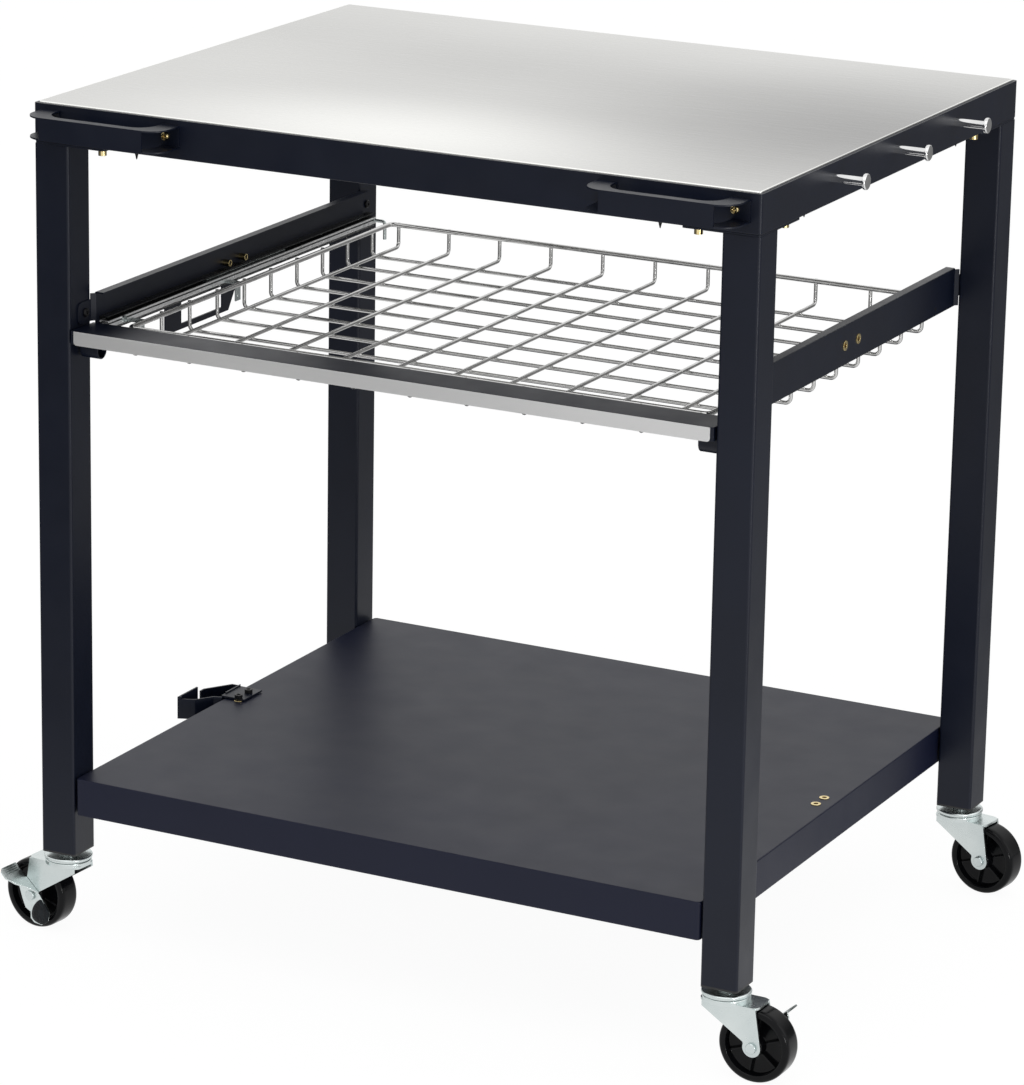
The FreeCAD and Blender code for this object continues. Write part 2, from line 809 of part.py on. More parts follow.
def make_rail(side):
    """Folded web with a top flange and joggled ears at both ends."""
    web = box(rail_in, rail_out, -rail_half_length, rail_half_length, rail_bottom, rail_top)
    flange = box(rail_out - rail_flange, rail_out, -rail_half_length, rail_half_length,
                 rail_top - thin_sheet, rail_top)
    body = join([web, flange])
    top_edge = [e for e in body.Edges if e.BoundBox.ZMin > rail_top - 0.01
                and e.BoundBox.XMin > rail_out - 0.01 and e.BoundBox.YLength > rail_half_length]
    body = body.makeFillet(thin_sheet * 0.9, top_edge)
    ears = []
    y0 = rail_half_length
    y1 = rail_half_length + joggle_length
    lap = 2 * thin_sheet
    face_in = leg_inner_x - thin_sheet
    for sy in (-1, 1):
        points = [(rail_in, sy * (y0 - lap)), (rail_in, sy * y0), (face_in, sy * y1),
                  (face_in, sy * ear_reach), (leg_inner_x, sy * ear_reach),
                  (leg_inner_x, sy * (y1 - joggle_shift)), (rail_out, sy * (y0 - joggle_shift)),
                  (rail_out, sy * (y0 - lap))]
        ear = plate(points, ear_bottom, ear_top)
        joggle = points[:3] + points[5:]
        # the front bar passes below the front joggle
        joggle_low = ear_bottom if sy < 0 else rail_bottom
        tips = [e for e in ear.Edges if e.BoundBox.XLength > 1 and e.BoundBox.YLength < 0.01
                and e.BoundBox.ZLength < 0.01 and abs(e.CenterOfMass.y) > ear_reach - 0.1]
        ears += [ear.makeFillet(ear_corner, tips), plate(joggle, joggle_low, rail_top - thin_sheet)]
    rail = join([body] + ears)
    if side < 0:
        rail = mirror_x(rail)
    x_in, x_out = side * (rail_in - lap), side * (leg_inner_x + lap)
    tools = []
    for sy in (-1, 1):
        y = sy * rail_screw_y
        tools.append(rod(rail_screw_d / 2 + hole_gap, (x_in, y, rail_screw_z), (x_out, y, rail_screw_z)))
    for y in rail_rivet_places(side):
        tools.append(rod(rivet_barrel_d / 2 + running_gap, (x_in, y, rivet_z), (x_out, y, rivet_z)))
    z = slide_middle_z
    for y in slide_screw_places():
        tools.append(rod(slide_screw_d / 2 + hole_gap, (x_in, y, z), (x_out, y, z)))
    return cut(rail, tools)


def slide_screw_places():
    return [slide_front + slide_screw_front, slide_rear - slide_screw_rear]


def make_rail_screws():
    screws = []
    z = rail_screw_z
    for side in sides.values():
        face = side * (leg_inner_x - thin_sheet)
        head_end = face - side * rail_screw_head_h
        socket_end = head_end + side * rail_screw_socket_h
        for sy in (-1, 1):
            y = sy * rail_screw_y
            head = rod(rail_screw_head_d / 2, (head_end, y, z), (face, y, z))
            rim = [e for e in head.Edges if abs(e.CenterOfMass.x - head_end) < 0.01
                   and e.BoundBox.XLength < 0.01]
            head = head.makeFillet(rail_screw_head_round, rim)
            socket = rod(rail_screw_socket_d / 2, (head_end, y, z), (socket_end, y, z))
            shank = rod(rail_screw_d / 2, (face, y, z), (side * (leg_inner_x + rail_screw_end), y, z))
            screws.append(join([head.cut(socket), shank]))
    return group(screws)


def c_section(x_back, x_open, z0, z1, y0, y1, wall):
    """Channel with its back at x_back, open towards x_open."""
    way = 1 if x_open > x_back else -1
    return join([
        box(x_back, x_back + way * wall, y0, y1, z0, z1),
        box(x_back, x_open, y0, y1, z0, z0 + wall),
        box(x_back, x_open, y0, y1, z1 - wall, z1),
    ])


def slide_ball_offset():
    """Height of a row of balls above or below the slide's middle."""
    return slide_height / 2 - slide_wall - slide_ball_d / 2 - running_gap


def inner_member_half():
    return slide_ball_offset() - slide_ball_d / 2 - running_gap


def make_slide_outer(side):
    z0, z1 = slide_bottom, slide_bottom + slide_height
    x_open = slide_face + slide_outer_short
    member = c_section(rail_in, x_open, z0, z1, slide_front, slide_rear, slide_wall)
    holes = [rod(slide_screw_d / 2 + hole_gap, (x_open, y, slide_middle_z), (rail_in + 1, y, slide_middle_z))
             for y in slide_screw_places()]
    member = cut(member, holes)
    return member if side > 0 else mirror_x(member)


def make_slide_screws():
    """Flat-headed rivets, closed level with the rail's outer face."""
    screws = []
    z = slide_middle_z
    for side in sides.values():
        x_face = side * (rail_in - slide_wall)
        x_head = x_face - side * slide_screw_head_h
        for y in slide_screw_places():
            head = rod(slide_screw_head_d / 2, (x_head, y, z), (x_face, y, z))
            shank = rod(slide_screw_d / 2, (x_face, y, z), (side * rail_out, y, z))
            screws.append(join([head, shank]))
    return group(screws)


def make_slide_inner(side):
    """The moving channel, open towards the rail, with a front tab for the basket's front bar."""
    half = inner_member_half()
    z0, z1 = slide_middle_z - half, slide_middle_z + half
    x_open = rail_in - slide_wall - slide_inner_short
    y_tab = front_bar_back + touch_gap
    z_tab = front_top - slide_tab_drop
    member = c_section(slide_face, x_open, z0, z1, slide_front, slide_rear, slide_wall)
    tab = box(slide_face, slide_face + slide_wall, y_tab, slide_front + 1, z0, z_tab)
    foot = box(slide_face, slide_face + slide_tab_reach, y_tab, y_tab + slide_wall, z0, z_tab)
    member = join([member, tab, foot])
    return member if side > 0 else mirror_x(member)


def make_ball_cage(side):
    """Two thin strips that hold the balls, joined by a bridge round the inner member's open side."""
    offset = slide_ball_offset()
    y0 = cage_middle_y - cage_length / 2
    y1 = cage_middle_y + cage_length / 2
    x_in = slide_face + ball_from_face - cage_reach
    bridge_x = rail_in - slide_wall - cage_bridge_gap
    pieces = []
    for up in (-1, 1):
        z = slide_middle_z + up * offset
        pieces.append(box(x_in, bridge_x, y0, y1, z - cage_wall / 2, z + cage_wall / 2))
    z0 = slide_middle_z - offset - cage_wall / 2
    z1 = slide_middle_z + offset + cage_wall / 2
    pieces.append(box(bridge_x - cage_wall, bridge_x, y0, y1, z0, z1))
    cage = join(pieces)
    holes = []
    for x, y, z in slide_ball_places():
        holes.append(rod(slide_ball_d / 2 + running_gap, (x, y, z - cage_wall), (x, y, z + cage_wall)))
    cage = cut(cage, holes)
    return cage if side > 0 else mirror_x(cage)


def slide_ball_places():
    offset = slide_ball_offset()
    pitch = (cage_length - 2 * cage_end) / (balls_per_row - 1)
    y_first = cage_middle_y - cage_length / 2 + cage_end
    x = slide_face + ball_from_face
    rows = (slide_middle_z - offset, slide_middle_z + offset)
    return [(x, y_first + i * pitch, z) for z in rows for i in range(balls_per_row)]


def make_slide_balls(side):
    return group([Part.makeSphere(slide_ball_d / 2, V(side * x, y, z)) for x, y, z in slide_ball_places()])


def make_basket_rim():
    """Closed hoop of round wire: four straight runs and four bends."""
    x, y0, y1, z, r = rim_half_width, rim_front, rim_rear, rim_z, wire_bend
    wire_r = rim_d / 2
    half = x - r
    pieces = [rod(wire_r, (-half, y, z), (half, y, z)) for y in (y0, y1)]
    pieces += [rod(wire_r, (sx * x, y0 + r, z), (sx * x, y1 - r, z)) for sx in (-1, 1)]
    past = r + rim_d
    for sx in (-1, 1):
        for y_end, sy in ((y0, -1), (y1, 1)):
            y_bend = y_end - sy * r
            ring = Part.makeTorus(r, wire_r, V(sx * half, y_bend, z))
            corner = box(sx * half, sx * (half + past), y_bend, y_bend + sy * past, z - rim_d, z + rim_d)
            pieces.append(ring.common(corner))
    return join(pieces)


def make_long_wires():
    """Front-to-rear wires, each bent up to the rim at both ends."""
    wires = []
    for i in range(long_wire_count):
        x = (i - (long_wire_count - 1) / 2) * long_wire_pitch
        points = [(x, wire_front, wire_top), (x, wire_front, long_floor_z), (x, wire_rear, long_floor_z),
                  (x, wire_rear, wire_top)]
        wires.append(tube_path(points, wire_d / 2, wire_bend))
    return group(wires)


def make_cross_wires():
    """Side-to-side wires under the long ones, bent up to the rim at both ends."""
    wires = []
    for i in range(cross_wire_count):
        y = cross_wire_front + i * cross_wire_pitch
        points = [(-wire_out_x, y, wire_top), (-wire_out_x, y, floor_z), (wire_out_x, y, floor_z),
                  (wire_out_x, y, wire_top)]
        wires.append(tube_path(points, wire_d / 2, wire_bend))
    return group(wires)


def make_front_bar():
    """Black channel across the front of the basket, open below."""
    y_front = front_face_y + strip_thickness
    z0 = front_bottom + front_bar_lift
    outer = box(-front_bar_half, front_bar_half, y_front, front_bar_back, z0, front_top)
    inner = box(-front_bar_half + thin_sheet, front_bar_half - thin_sheet, y_front + thin_sheet,
                front_bar_back - thin_sheet, z0 - 1, front_top - thin_sheet)
    return outer.cut(inner)


def make_front_strip():
    z0, z1 = front_bottom, front_top - strip_below_top
    strip = box(-strip_half, strip_half, front_face_y, front_face_y + strip_thickness, z0, z1)
    low = [e for e in strip.Edges if e.BoundBox.YLength > 0.5 and e.BoundBox.XLength < 0.01
           and e.BoundBox.ZMax < z0 + 0.01]
    return strip.makeFillet(strip_corner, low)


def make_front_clip(side):
    """Curled steel lip under the end of the front bar."""
    x0, x1 = clip_inner, front_bar_half - thin_sheet - touch_gap
    depth = 2 * clip_radius
    z_mid = clip_bottom + clip_radius
    y_mid = clip_front + clip_radius
    top = front_top - thin_sheet - touch_gap
    curl = rod(clip_radius, (x0, y_mid, z_mid), (x1, y_mid, z_mid))
    curl = curl.cut(rod(clip_radius - sheet, (x0 - 1, y_mid, z_mid), (x1 + 1, y_mid, z_mid)))
    curl = curl.common(box(x0, x1, clip_front - 1, clip_front + depth + 1, clip_bottom - 1, z_mid))
    front = box(x0, x1, clip_front, clip_front + sheet, z_mid, top)
    rear = box(x0, x1, clip_front + depth - sheet, clip_front + depth, z_mid, z_mid + clip_rear_up)
    roof = box(x0, x1 - clip_roof_short, clip_front, clip_front + 2 * depth / 3, top - sheet, top)
    clip = join([curl, front, rear, roof])
    return clip if side > 0 else mirror_x(clip)


def make_basket_links(side):
    """Flat tabs and a rear rod that carry the basket's rim on the moving slide."""
    x_slide = slide_face
    x_wire = rim_half_width + rim_d / 2 + touch_gap
    x_outer = x_wire + thin_sheet
    pieces = []
    tabs = ((link_tab_middle[side], link_long_drop, link_long_width),
            (slide_front + link_tab_front, link_short_drop, link_short_width))
    for y, drop, width in tabs:
        z_hole = wire_top - drop + link_hole_up
        hang = box(x_wire, x_outer, y - width / 2, y + width / 2, wire_top - drop, wire_top)
        arm = box(x_wire, x_slide, y - width / 2, y + width / 2, wire_top - thin_sheet, wire_top)
        hole = rod(link_hole_d / 2, (x_wire - 1, y, z_hole), (x_outer + 1, y, z_hole))
        pieces.append(join([hang, arm]).cut(hole))
    y = slide_rear - link_rod_in
    rod_x = x_wire + link_rod_d / 2
    run = [(x_slide, y, slide_middle_z), (rod_x, y, slide_middle_z), (rod_x, y, link_rod_low)]
    pieces.append(tube_path(run, link_rod_d / 2, link_rod_bend))
    if side < 0:
        pieces = [mirror_x(piece) for piece in pieces]
    return group(pieces)


def make_basket_screws():
    heads = []
    y, z = slide_front + basket_screw_back, slide_middle_z
    for side in sides.values():
        x0, x1 = side * (slide_face - basket_screw_head_h), side * slide_face
        heads.append(rod(basket_screw_head_d / 2, (x0, y, z), (x1, y, z)))
    return group(heads)


def make_upper_holder():
    """Black hanger outside the left rail: mount plate, web and an open U frame."""
    t = holder_sheet
    x0 = -rail_out - rivet_flange_h
    x1 = x0 - t
    x_out = -rail_out - holder_out
    y0, y1 = upper_holder_front, upper_holder_rear
    arm = upper_holder_arm
    low, shoulder = upper_holder_bottom, upper_holder_shoulder
    web_y0, web_y1 = y0 + arm - upper_holder_narrow, y1 - arm + upper_holder_narrow
    mount = box(x1, x0, web_y0, web_y1, shoulder - t, upper_holder_top)
    web = box(x_out - t, x0, web_y0, web_y1, shoulder - t, shoulder)
    frame = box(x_out - t, x_out, y0, y1, low, shoulder)
    window = box(x_out - t - 1, x_out + 1, y0 + arm, y1 - arm, low + upper_holder_strap, shoulder - 2 * t)
    below = low - 1
    corner_points = [V(x_out + 1, y1 + 1, below), V(x_out + 1, y1 - upper_holder_cut_y, below),
                     V(x_out + 1, y1 + 1, low + upper_holder_cut_z)]
    corner = Part.Face(Part.makePolygon(corner_points + corner_points[:1])).extrude(V(-t - 2, 0, 0))
    holder = join([mount, web, frame.cut([window, corner])])
    holes = [rod(rivet_bore_d / 2 + hole_gap, (x1 - 1, y, rivet_z), (x0 + 1, y, rivet_z))
             for y in rail_rivet_places(-1)]
    return cut(holder, holes)


def inside_corner(points, i, t):
    """The corner of the outline moved inwards by the sheet; the points run clockwise seen from above."""
    before, here, after = (V(*points[k % len(points)], 0) for k in (i - 1, i, i + 1))
    way_in, way_out = (here - before).normalize(), (after - here).normalize()
    n_in, n_out = V(way_in.y, -way_in.x, 0), V(way_out.y, -way_out.x, 0)
    across = (n_in + n_out).normalize()
    corner = here + across * (t / across.dot(n_in))
    return (corner.x, corner.y)


def make_lower_holder():
    """Black pocket bracket on the shelf's left edge."""
    t = holder_sheet
    z0 = shelf_top + rivet_flange_h
    low, rear_high = lower_holder_bottom, lower_holder_top
    near_high = rear_high + pocket_near_rise
    front_high = rear_high + pocket_front_rise
    x_outer, x_shelf = pocket_plan[0][0], pocket_plan[4][0]
    inner_plan = [inside_corner(pocket_plan, i, t) for i in range(len(pocket_plan))]
    pocket = plate(pocket_plan, low, front_high).cut(plate(inner_plan, low + t, front_high + 1))
    # the rear half of the far wall is lower than its front half, and the near wall lies between
    rear_cut = box(x_outer - 1, x_shelf - t, pocket_slot_y + pocket_slot, pocket_plan[3][1] + 1,
                   rear_high, front_high + 1)
    near_cut = box(x_outer + 2 * t, x_shelf + 1, pocket_plan[0][1] - 1, pocket_slot_y,
                   near_high, front_high + 1)
    slot = box(x_outer - 1, x_outer + t + 1, pocket_slot_y, pocket_slot_y + pocket_slot,
               low + pocket_slot_up, front_high + 1)
    pocket = pocket.cut([rear_cut, near_cut, slot])
    mount = box(x_shelf - t, x_shelf + pocket_mount, pocket_mount_front_y, pocket_mount_rear_y, z0, z0 + t)
    holder = join([pocket, mount])
    holes = [rod(rivet_bore_d / 2 + hole_gap, (-shelf_rivet_x, y, z0 - 1), (-shelf_rivet_x, y, z0 + t + 1))
             for y in shelf_rivet_places(-1)]
    return cut(holder, holes)


def make_holder_screws():
    screws = []
    shank_r = rivet_bore_d / 2 - running_gap
    x = -rail_out - rivet_flange_h - holder_sheet
    for y in rail_rivet_places(-1):
        head = rod(holder_head_d / 2, (x - holder_side_head_h, y, rivet_z), (x, y, rivet_z))
        shank = rod(shank_r, (x, y, rivet_z), (-rail_out + rivet_length - 1, y, rivet_z))
        screws.append(join([head, shank]))
    x = -shelf_rivet_x
    z = shelf_top + rivet_flange_h + holder_sheet
    z_high = z + holder_head_h
    for y in shelf_rivet_places(-1):
        head = rod(holder_head_d / 2, (x, y, z), (x, y, z_high))
        head = head.cut(rod(holder_socket_d / 2, (x, y, z_high - holder_socket_h), (x, y, z_high)))
        shank = rod(shank_r, (x, y, shelf_top - rivet_length + 1), (x, y, z))
        screws.append(join([head, shank]))
    return group(screws)


def place_caster(shape, name):
    sx, sy = corners[name]
    shape.rotate(V(0, 0, 0), V(0, 0, 1), caster_heading[name])
    shape.translate(V(sx * leg_x, sy * leg_y, 0))
    return shape


def make_caster_stems():
    """Threaded stem, upper race and the riveted end under the fork, fixed to the leg."""
    stems = []
    z_cup = race_split + race_gap
    z_plate = fork_top - fork_sheet
    for sx, sy in corners.values():
        x, y = sx * leg_x, sy * leg_y
        cup = rod(caster_race_d / 2, (x, y, z_cup), (x, y, z_cup + race_cup_h))
        cup = cup.makeFillet(race_cup_round, [e for e in cup.Edges if e.BoundBox.ZLength < 0.01])
        neck = rod(stem_neck_r, (x, y, z_cup + race_cup_h / 2), (x, y, leg_bottom - plug_foot))
        stem = rod(caster_stem_d / 2, (x, y, z_plate), (x, y, leg_bottom + stem_reach))
        tail = rod(caster_stem_d / 2 - stem_tail, (x, y, z_plate - 2 * stem_tail), (x, y, z_plate))
        stems.append(join([cup, neck, stem, tail]))
    return group(stems)


def make_fork(name):
    half = caster_wheel_width / 2 + caster_side_gap
    out = half + fork_sheet
    z_plate = fork_top - fork_sheet
    trail = caster_trail
    top = round_vertical(box(-fork_back, fork_front, -out, out, z_plate, fork_top), fork_round)
    race = rod(caster_race_d / 2 - race_short, (0, 0, z_plate + fork_sheet / 2), (0, 0, race_split))
    race = race.makeFillet(race_round, [e for e in race.Edges if e.BoundBox.ZLength < 0.01
                                        and e.BoundBox.ZMin > fork_top])
    arms = []
    for side in (-1, 1):
        y0 = side * half
        outline = [V(-fork_arm_back, y0, fork_top - 1), V(fork_arm_front, y0, fork_top - 1),
                   V(trail + fork_eye_r, y0, axle_z), V(trail + fork_knee, y0, axle_z - fork_knee),
                   V(trail - fork_knee, y0, axle_z - fork_knee),
                   V(trail - fork_eye_r, y0, axle_z + fork_shoulder),
                   V(-fork_arm_back, y0, z_plate - fork_shoulder)]
        arm = Part.Face(Part.makePolygon(outline + outline[:1])).extrude(V(0, side * fork_sheet, 0))
        eye = rod(fork_eye_r, (trail, y0, axle_z), (trail, y0 + side * fork_sheet, axle_z))
        arms.append(arm.fuse(eye))
    fork = join([top, race] + arms)
    tools = [
        rod(caster_stem_d / 2 + running_gap, (0, 0, z_plate - 1), (0, 0, race_split + 1)),
        rod(axle_d / 2 + running_gap, (trail, -out - 1, axle_z), (trail, out + 1, axle_z)),
    ]
    return place_caster(cut(fork, tools), name)


def make_axle(name):
    right = caster_wheel_width / 2 + caster_side_gap + fork_sheet + touch_gap
    left = right + (brake_thickness + 2 * body_gap if name in braked else 0.0)
    x, z = caster_trail, axle_z
    pieces = [rod(axle_d / 2, (x, -right - axle_head_h / 2, z), (x, left + axle_head_h / 2, z))]
    for side, at in ((-1, right), (1, left)):
        end = at + axle_head_h
        head = rod(axle_head_d / 2, (x, side * at, z), (x, side * end, z))
        rim = [e for e in head.Edges if e.BoundBox.YLength < 0.01
               and abs(abs(e.CenterOfMass.y) - end) < 0.01]
        pieces.append(head.makeFillet(axle_head_round, rim))
    return place_caster(join(pieces), name)


def make_bush(name):
    half = caster_wheel_width / 2 + caster_side_gap - touch_gap
    tube = rod(bush_d / 2, (caster_trail, -half, axle_z), (caster_trail, half, axle_z))
    bore = rod(axle_d / 2 + running_gap, (caster_trail, -half - 1, axle_z), (caster_trail, half + 1, axle_z))
    return place_caster(tube.cut(bore), name)


def make_wheel(name):
    """Moulded wheel: rounded tread, recessed web on both faces, hub and ribs."""
    w = caster_wheel_width / 2
    r = wheel_r
    hub_w = w + caster_side_gap - body_gap
    rim_r = r - wheel_rim
    rib_w = w - wheel_rib_back
    body = rod(r, (0, -w, 0), (0, w, 0))
    body = body.makeFillet(wheel_tread_round, [e for e in body.Edges if e.BoundBox.YLength < 0.01])
    recess = []
    for side in (-1, 1):
        ring = rod(rim_r, (0, side * wheel_web, 0), (0, side * (w + 1), 0))
        recess.append(ring.cut(rod(wheel_hub_r, (0, 0, 0), (0, side * (w + 2), 0))))
    pieces = [body.cut(recess), rod(wheel_hub_r, (0, -hub_w, 0), (0, hub_w, 0))]
    for i in range(wheel_rib_count):
        rib = box(wheel_hub_r - 2, rim_r + 1, -rib_w, rib_w, -wheel_rib / 2, wheel_rib / 2)
        rib.rotate(V(0, 0, 0), V(0, 1, 0), wheel_rib_turn + 360 / wheel_rib_count * i)
        pieces.append(rib)
    wheel = join(pieces)
    wheel = wheel.cut(rod(bush_d / 2 + running_gap, (0, -hub_w - 1, 0), (0, hub_w + 1, 0)))
    wheel.translate(V(caster_trail, 0, axle_z))
    return place_caster(wheel, name)


def make_brake_lever(name):
    """Bent sheet lever on the axle: a side plate with a lower lobe, and a tread folded outwards."""
    t = brake_thickness
    y0 = caster_wheel_width / 2 + caster_side_gap + fork_sheet + body_gap
    tread = [V(brake_tip - s, y0 + w, brake_off_axle) for s, w in brake_tread]
    tread = [V(brake_tip, y0, brake_off_axle)] + tread + [V(tread[-1].x, y0, brake_off_axle)]
    tread = Part.Face(Part.makePolygon(tread + tread[:1])).extrude(V(0, 0, -t))
    grooves = []
    y1 = y0 + brake_groove_length
    for i in range(brake_groove_count):
        x = brake_tip - (i + 1) * brake_groove_pitch
        grooves.append(box(x, x + brake_groove, y0 + t, y1, brake_off_axle - t / 3, brake_off_axle + 1))
    tread = tread.cut(grooves)
    tread.rotate(V(0, 0, 0), V(0, 1, 0), -brake_angle)
    turn = FreeCAD.Rotation(V(0, 1, 0), -brake_angle)
    tip = turn.multVec(V(brake_tip, 0, brake_off_axle))
    root = turn.multVec(V(-brake_root, 0, brake_off_axle))
    outline = [(root.x, root.z), (tip.x, tip.z)] + list(brake_plate) + list(brake_lobe)
    points = [V(x, y0, z) for x, z in outline]
    side_plate = Part.Face(Part.makePolygon(points + points[:1])).extrude(V(0, t, 0))
    lever = join([side_plate, tread])
    lever = lever.cut(rod(axle_d / 2 + running_gap, (0, y0 - 1, 0), (0, y0 + t + 1, 0)))
    lever.translate(V(caster_trail, 0, axle_z))
    return place_caster(lever, name)


nodes = {
    "top_panel": make_top_panel(),
    "top_frame": make_top_frame(),
    "corner_braces": make_corner_braces(),
    "brace_screws": make_brace_screws(),
    "corner_bolts": group([make_corner_bolts(), make_corner_nuts()]),
    "leg_plugs": make_leg_plugs(),
    "handle_screws": group([make_handle_screws(), make_handle_nuts()]),
    "tool_hooks": make_tool_hooks(),
    "hook_nuts": make_hook_nuts(),
    "shelf": make_shelf(),
    "shelf_ribs": make_shelf_ribs(),
    "shelf_rivet_nuts": make_shelf_rivets(),
    "shelf_bolts": make_shelf_bolts(),
    "leg_rivet_nuts": make_leg_rivets(),
    "rail_rivet_nuts": make_rail_rivets(),
    "rail_screws": make_rail_screws(),
    "slide_screws": make_slide_screws(),
    "basket_rim": make_basket_rim(),
    "basket_long_wires": make_long_wires(),
    "basket_cross_wires": make_cross_wires(),
    "basket_front_bar": make_front_bar(),
    "basket_front_strip": make_front_strip(),
    "basket_screws": make_basket_screws(),
    "upper_holder": make_upper_holder(),
    "lower_holder": make_lower_holder(),
    "holder_screws": make_holder_screws(),
    "caster_stems": make_caster_stems(),
}
for name, (sx, sy) in corners.items():
    nodes["leg_" + name] = make_leg(sx, sy)
    nodes["fork_" + name] = make_fork(name)
    nodes["axle_" + name] = group([make_axle(name), make_bush(name)])
    nodes["wheel_" + name] = make_wheel(name)
for name in braked:
    nodes["brake_lever_" + name] = make_brake_lever(name)
for name, side in sides.items():
    nodes["handle_" + name] = make_handle(side)
    nodes["rail_" + name] = make_rail(side)
    nodes["slide_outer_" + name] = make_slide_outer(side)
    nodes["slide_inner_" + name] = make_slide_inner(side)
    nodes["ball_cage_" + name] = group([make_ball_cage(side), make_slide_balls(side)])
    nodes["front_clip_" + name] = make_front_clip(side)
    nodes["basket_links_" + name] = make_basket_links(side)

os.makedirs("parts", exist_ok=True)
for name, shape in nodes.items():
    print(name, "solids", len(shape.Solids), "valid", shape.isValid(), "volume", round(shape.Volume, 1))
    shape.exportStep("parts/" + name + ".step")
print(len(nodes), "nodes")
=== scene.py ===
import bmesh
import bpy
import json
import math
from mathutils import Matrix, Vector

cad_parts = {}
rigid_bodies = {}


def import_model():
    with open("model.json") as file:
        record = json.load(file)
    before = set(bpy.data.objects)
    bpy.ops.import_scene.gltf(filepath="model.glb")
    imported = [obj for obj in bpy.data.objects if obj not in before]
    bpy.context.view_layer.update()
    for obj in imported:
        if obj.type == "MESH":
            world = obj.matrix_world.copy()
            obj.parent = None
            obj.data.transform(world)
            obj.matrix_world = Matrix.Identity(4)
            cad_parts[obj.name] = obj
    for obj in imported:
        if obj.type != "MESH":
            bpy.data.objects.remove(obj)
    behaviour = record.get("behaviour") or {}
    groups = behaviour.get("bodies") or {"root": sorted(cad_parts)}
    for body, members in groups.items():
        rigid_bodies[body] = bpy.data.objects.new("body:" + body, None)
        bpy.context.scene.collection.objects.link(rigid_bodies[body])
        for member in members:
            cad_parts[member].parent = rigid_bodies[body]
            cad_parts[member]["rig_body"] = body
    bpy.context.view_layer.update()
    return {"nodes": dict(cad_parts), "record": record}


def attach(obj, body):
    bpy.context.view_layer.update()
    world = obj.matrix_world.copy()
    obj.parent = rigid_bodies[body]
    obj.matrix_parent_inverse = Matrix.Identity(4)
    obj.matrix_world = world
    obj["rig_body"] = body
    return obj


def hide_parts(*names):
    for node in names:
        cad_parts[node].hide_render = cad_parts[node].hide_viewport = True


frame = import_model()
nodes = frame["nodes"]
node_body = {name: obj["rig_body"] for name, obj in nodes.items()}

# Sizes shared with the CAD source, in metres
MM = 0.001
HALF_W, HALF_D, TOP_Z = 400 * MM, 320 * MM, 890 * MM
PANEL_HALF_W, PANEL_HALF_D, PANEL_EDGE = 397 * MM, 317 * MM, 1.8 * MM
SLIDE_LOW, SLIDE_HIGH = 648.5 * MM, 664 * MM
LEG = 40 * MM
LEG_X, LEG_Y = HALF_W - LEG / 2, HALF_D - LEG / 2
HOOK_Y, HOOK_Z = (-157 * MM, -3 * MM, 151 * MM), 874 * MM

# Casters: how far the axle trails its stem, the axle's height, each heading in degrees and each corner's side
TRAIL, AXLE_Z = 36 * MM, 38 * MM
HEADING = {"front_left": 174.0, "front_right": -0.8, "rear_left": 188.0, "rear_right": -8.3}
CORNER = {"front_left": (-1, -1), "front_right": (1, -1), "rear_left": (-1, 1), "rear_right": (1, 1)}
BRAKED = ("front_left", "front_right")

# Camera, read from the photograph's perspective: angles in degrees, place in metres, lens and sensor in mm
CAM_AZ, CAM_EL, CAM_ROLL = 26.793, 16.003, 1.097
CAM_PLACE = (2.17643, -4.28371, 1.85352)
CAM_LENS, CAM_SENSOR = 158.79, 36.0
CAM_SHIFT = (-0.0258, -0.0576)
CAM_CLIP = (0.05, 200.0)

# Floor: its radius and colour, its brightness to the eye, and how much of it glows rather than takes light
FLOOR_RADIUS, FLOOR_COLOUR, FLOOR_WHITE, FLOOR_SHARE = 40.0, (0.84, 0.84, 0.84, 1), 1.055, 0.90
# The floor's mirror image darkens toward the left along x, and away from the camera along FLOOR_WAY
FLOOR_LEFT, FLOOR_LEFT_SPAN = 0.05, (-1.5, -0.55)
FLOOR_REAR, FLOOR_REAR_SPAN, FLOOR_WAY = 0.18, (0.2, 2.6), (0.45, 0.89)
# and in two dark pools: middle, reach, stretch and brightness at the middle
FLOOR_POOLS = [((0.50, 1.45, 0), 1.25, (1.0, 0.75, 0), 0.40), ((-0.90, -1.25, 0), 1.05, (1, 1, 1), 0.30)]

# Dark flag behind the object to the right, seen only in its mirror image: direction, reach and brightness
FLAG_WAY, FLAG_REACH, FLAG_DARK = (0.44, 0.89, 0.10), 0.62, 0.10

# Light: the studio's own level, and three lamps with their place, target, size in metres and watts
WORLD_LEVEL = 0.62
LAMPS = {
    "key": ((0.4, -2.2, 4.4), (0, 0, 0.5), (3.2, 2.6), 30),
    "side": ((3.4, 0.6, 2.2), (0, 0, 0.5), (2.4, 2.4), 12),
    "edge": ((2.9, -1.7, 0.42), (0.3, -0.3, 0.4), (0.32, 0.5), 17),
}
WHITE = (1, 1, 1, 1)


# Shader nodes
def feed(tree, socket, value):
    """Links value to the socket when it is another socket, and sets it there when it is a constant."""
    if isinstance(value, bpy.types.NodeSocket):
        tree.links.new(value, socket)
    else:
        socket.default_value = value


def add_node(tree, kind, inputs=None, **settings):
    """A new shader node with its settings and its inputs, by name or number."""
    node = tree.nodes.new("ShaderNode" + kind)
    for key, value in settings.items():
        setattr(node, key, value)
    for key, value in (inputs or {}).items():
        feed(tree, node.inputs[key], value)
    return node


def math_node(tree, operation, *values):
    """The result of one sum on sockets or constants."""
    return add_node(tree, "Math", dict(enumerate(values)), operation=operation).outputs[0]


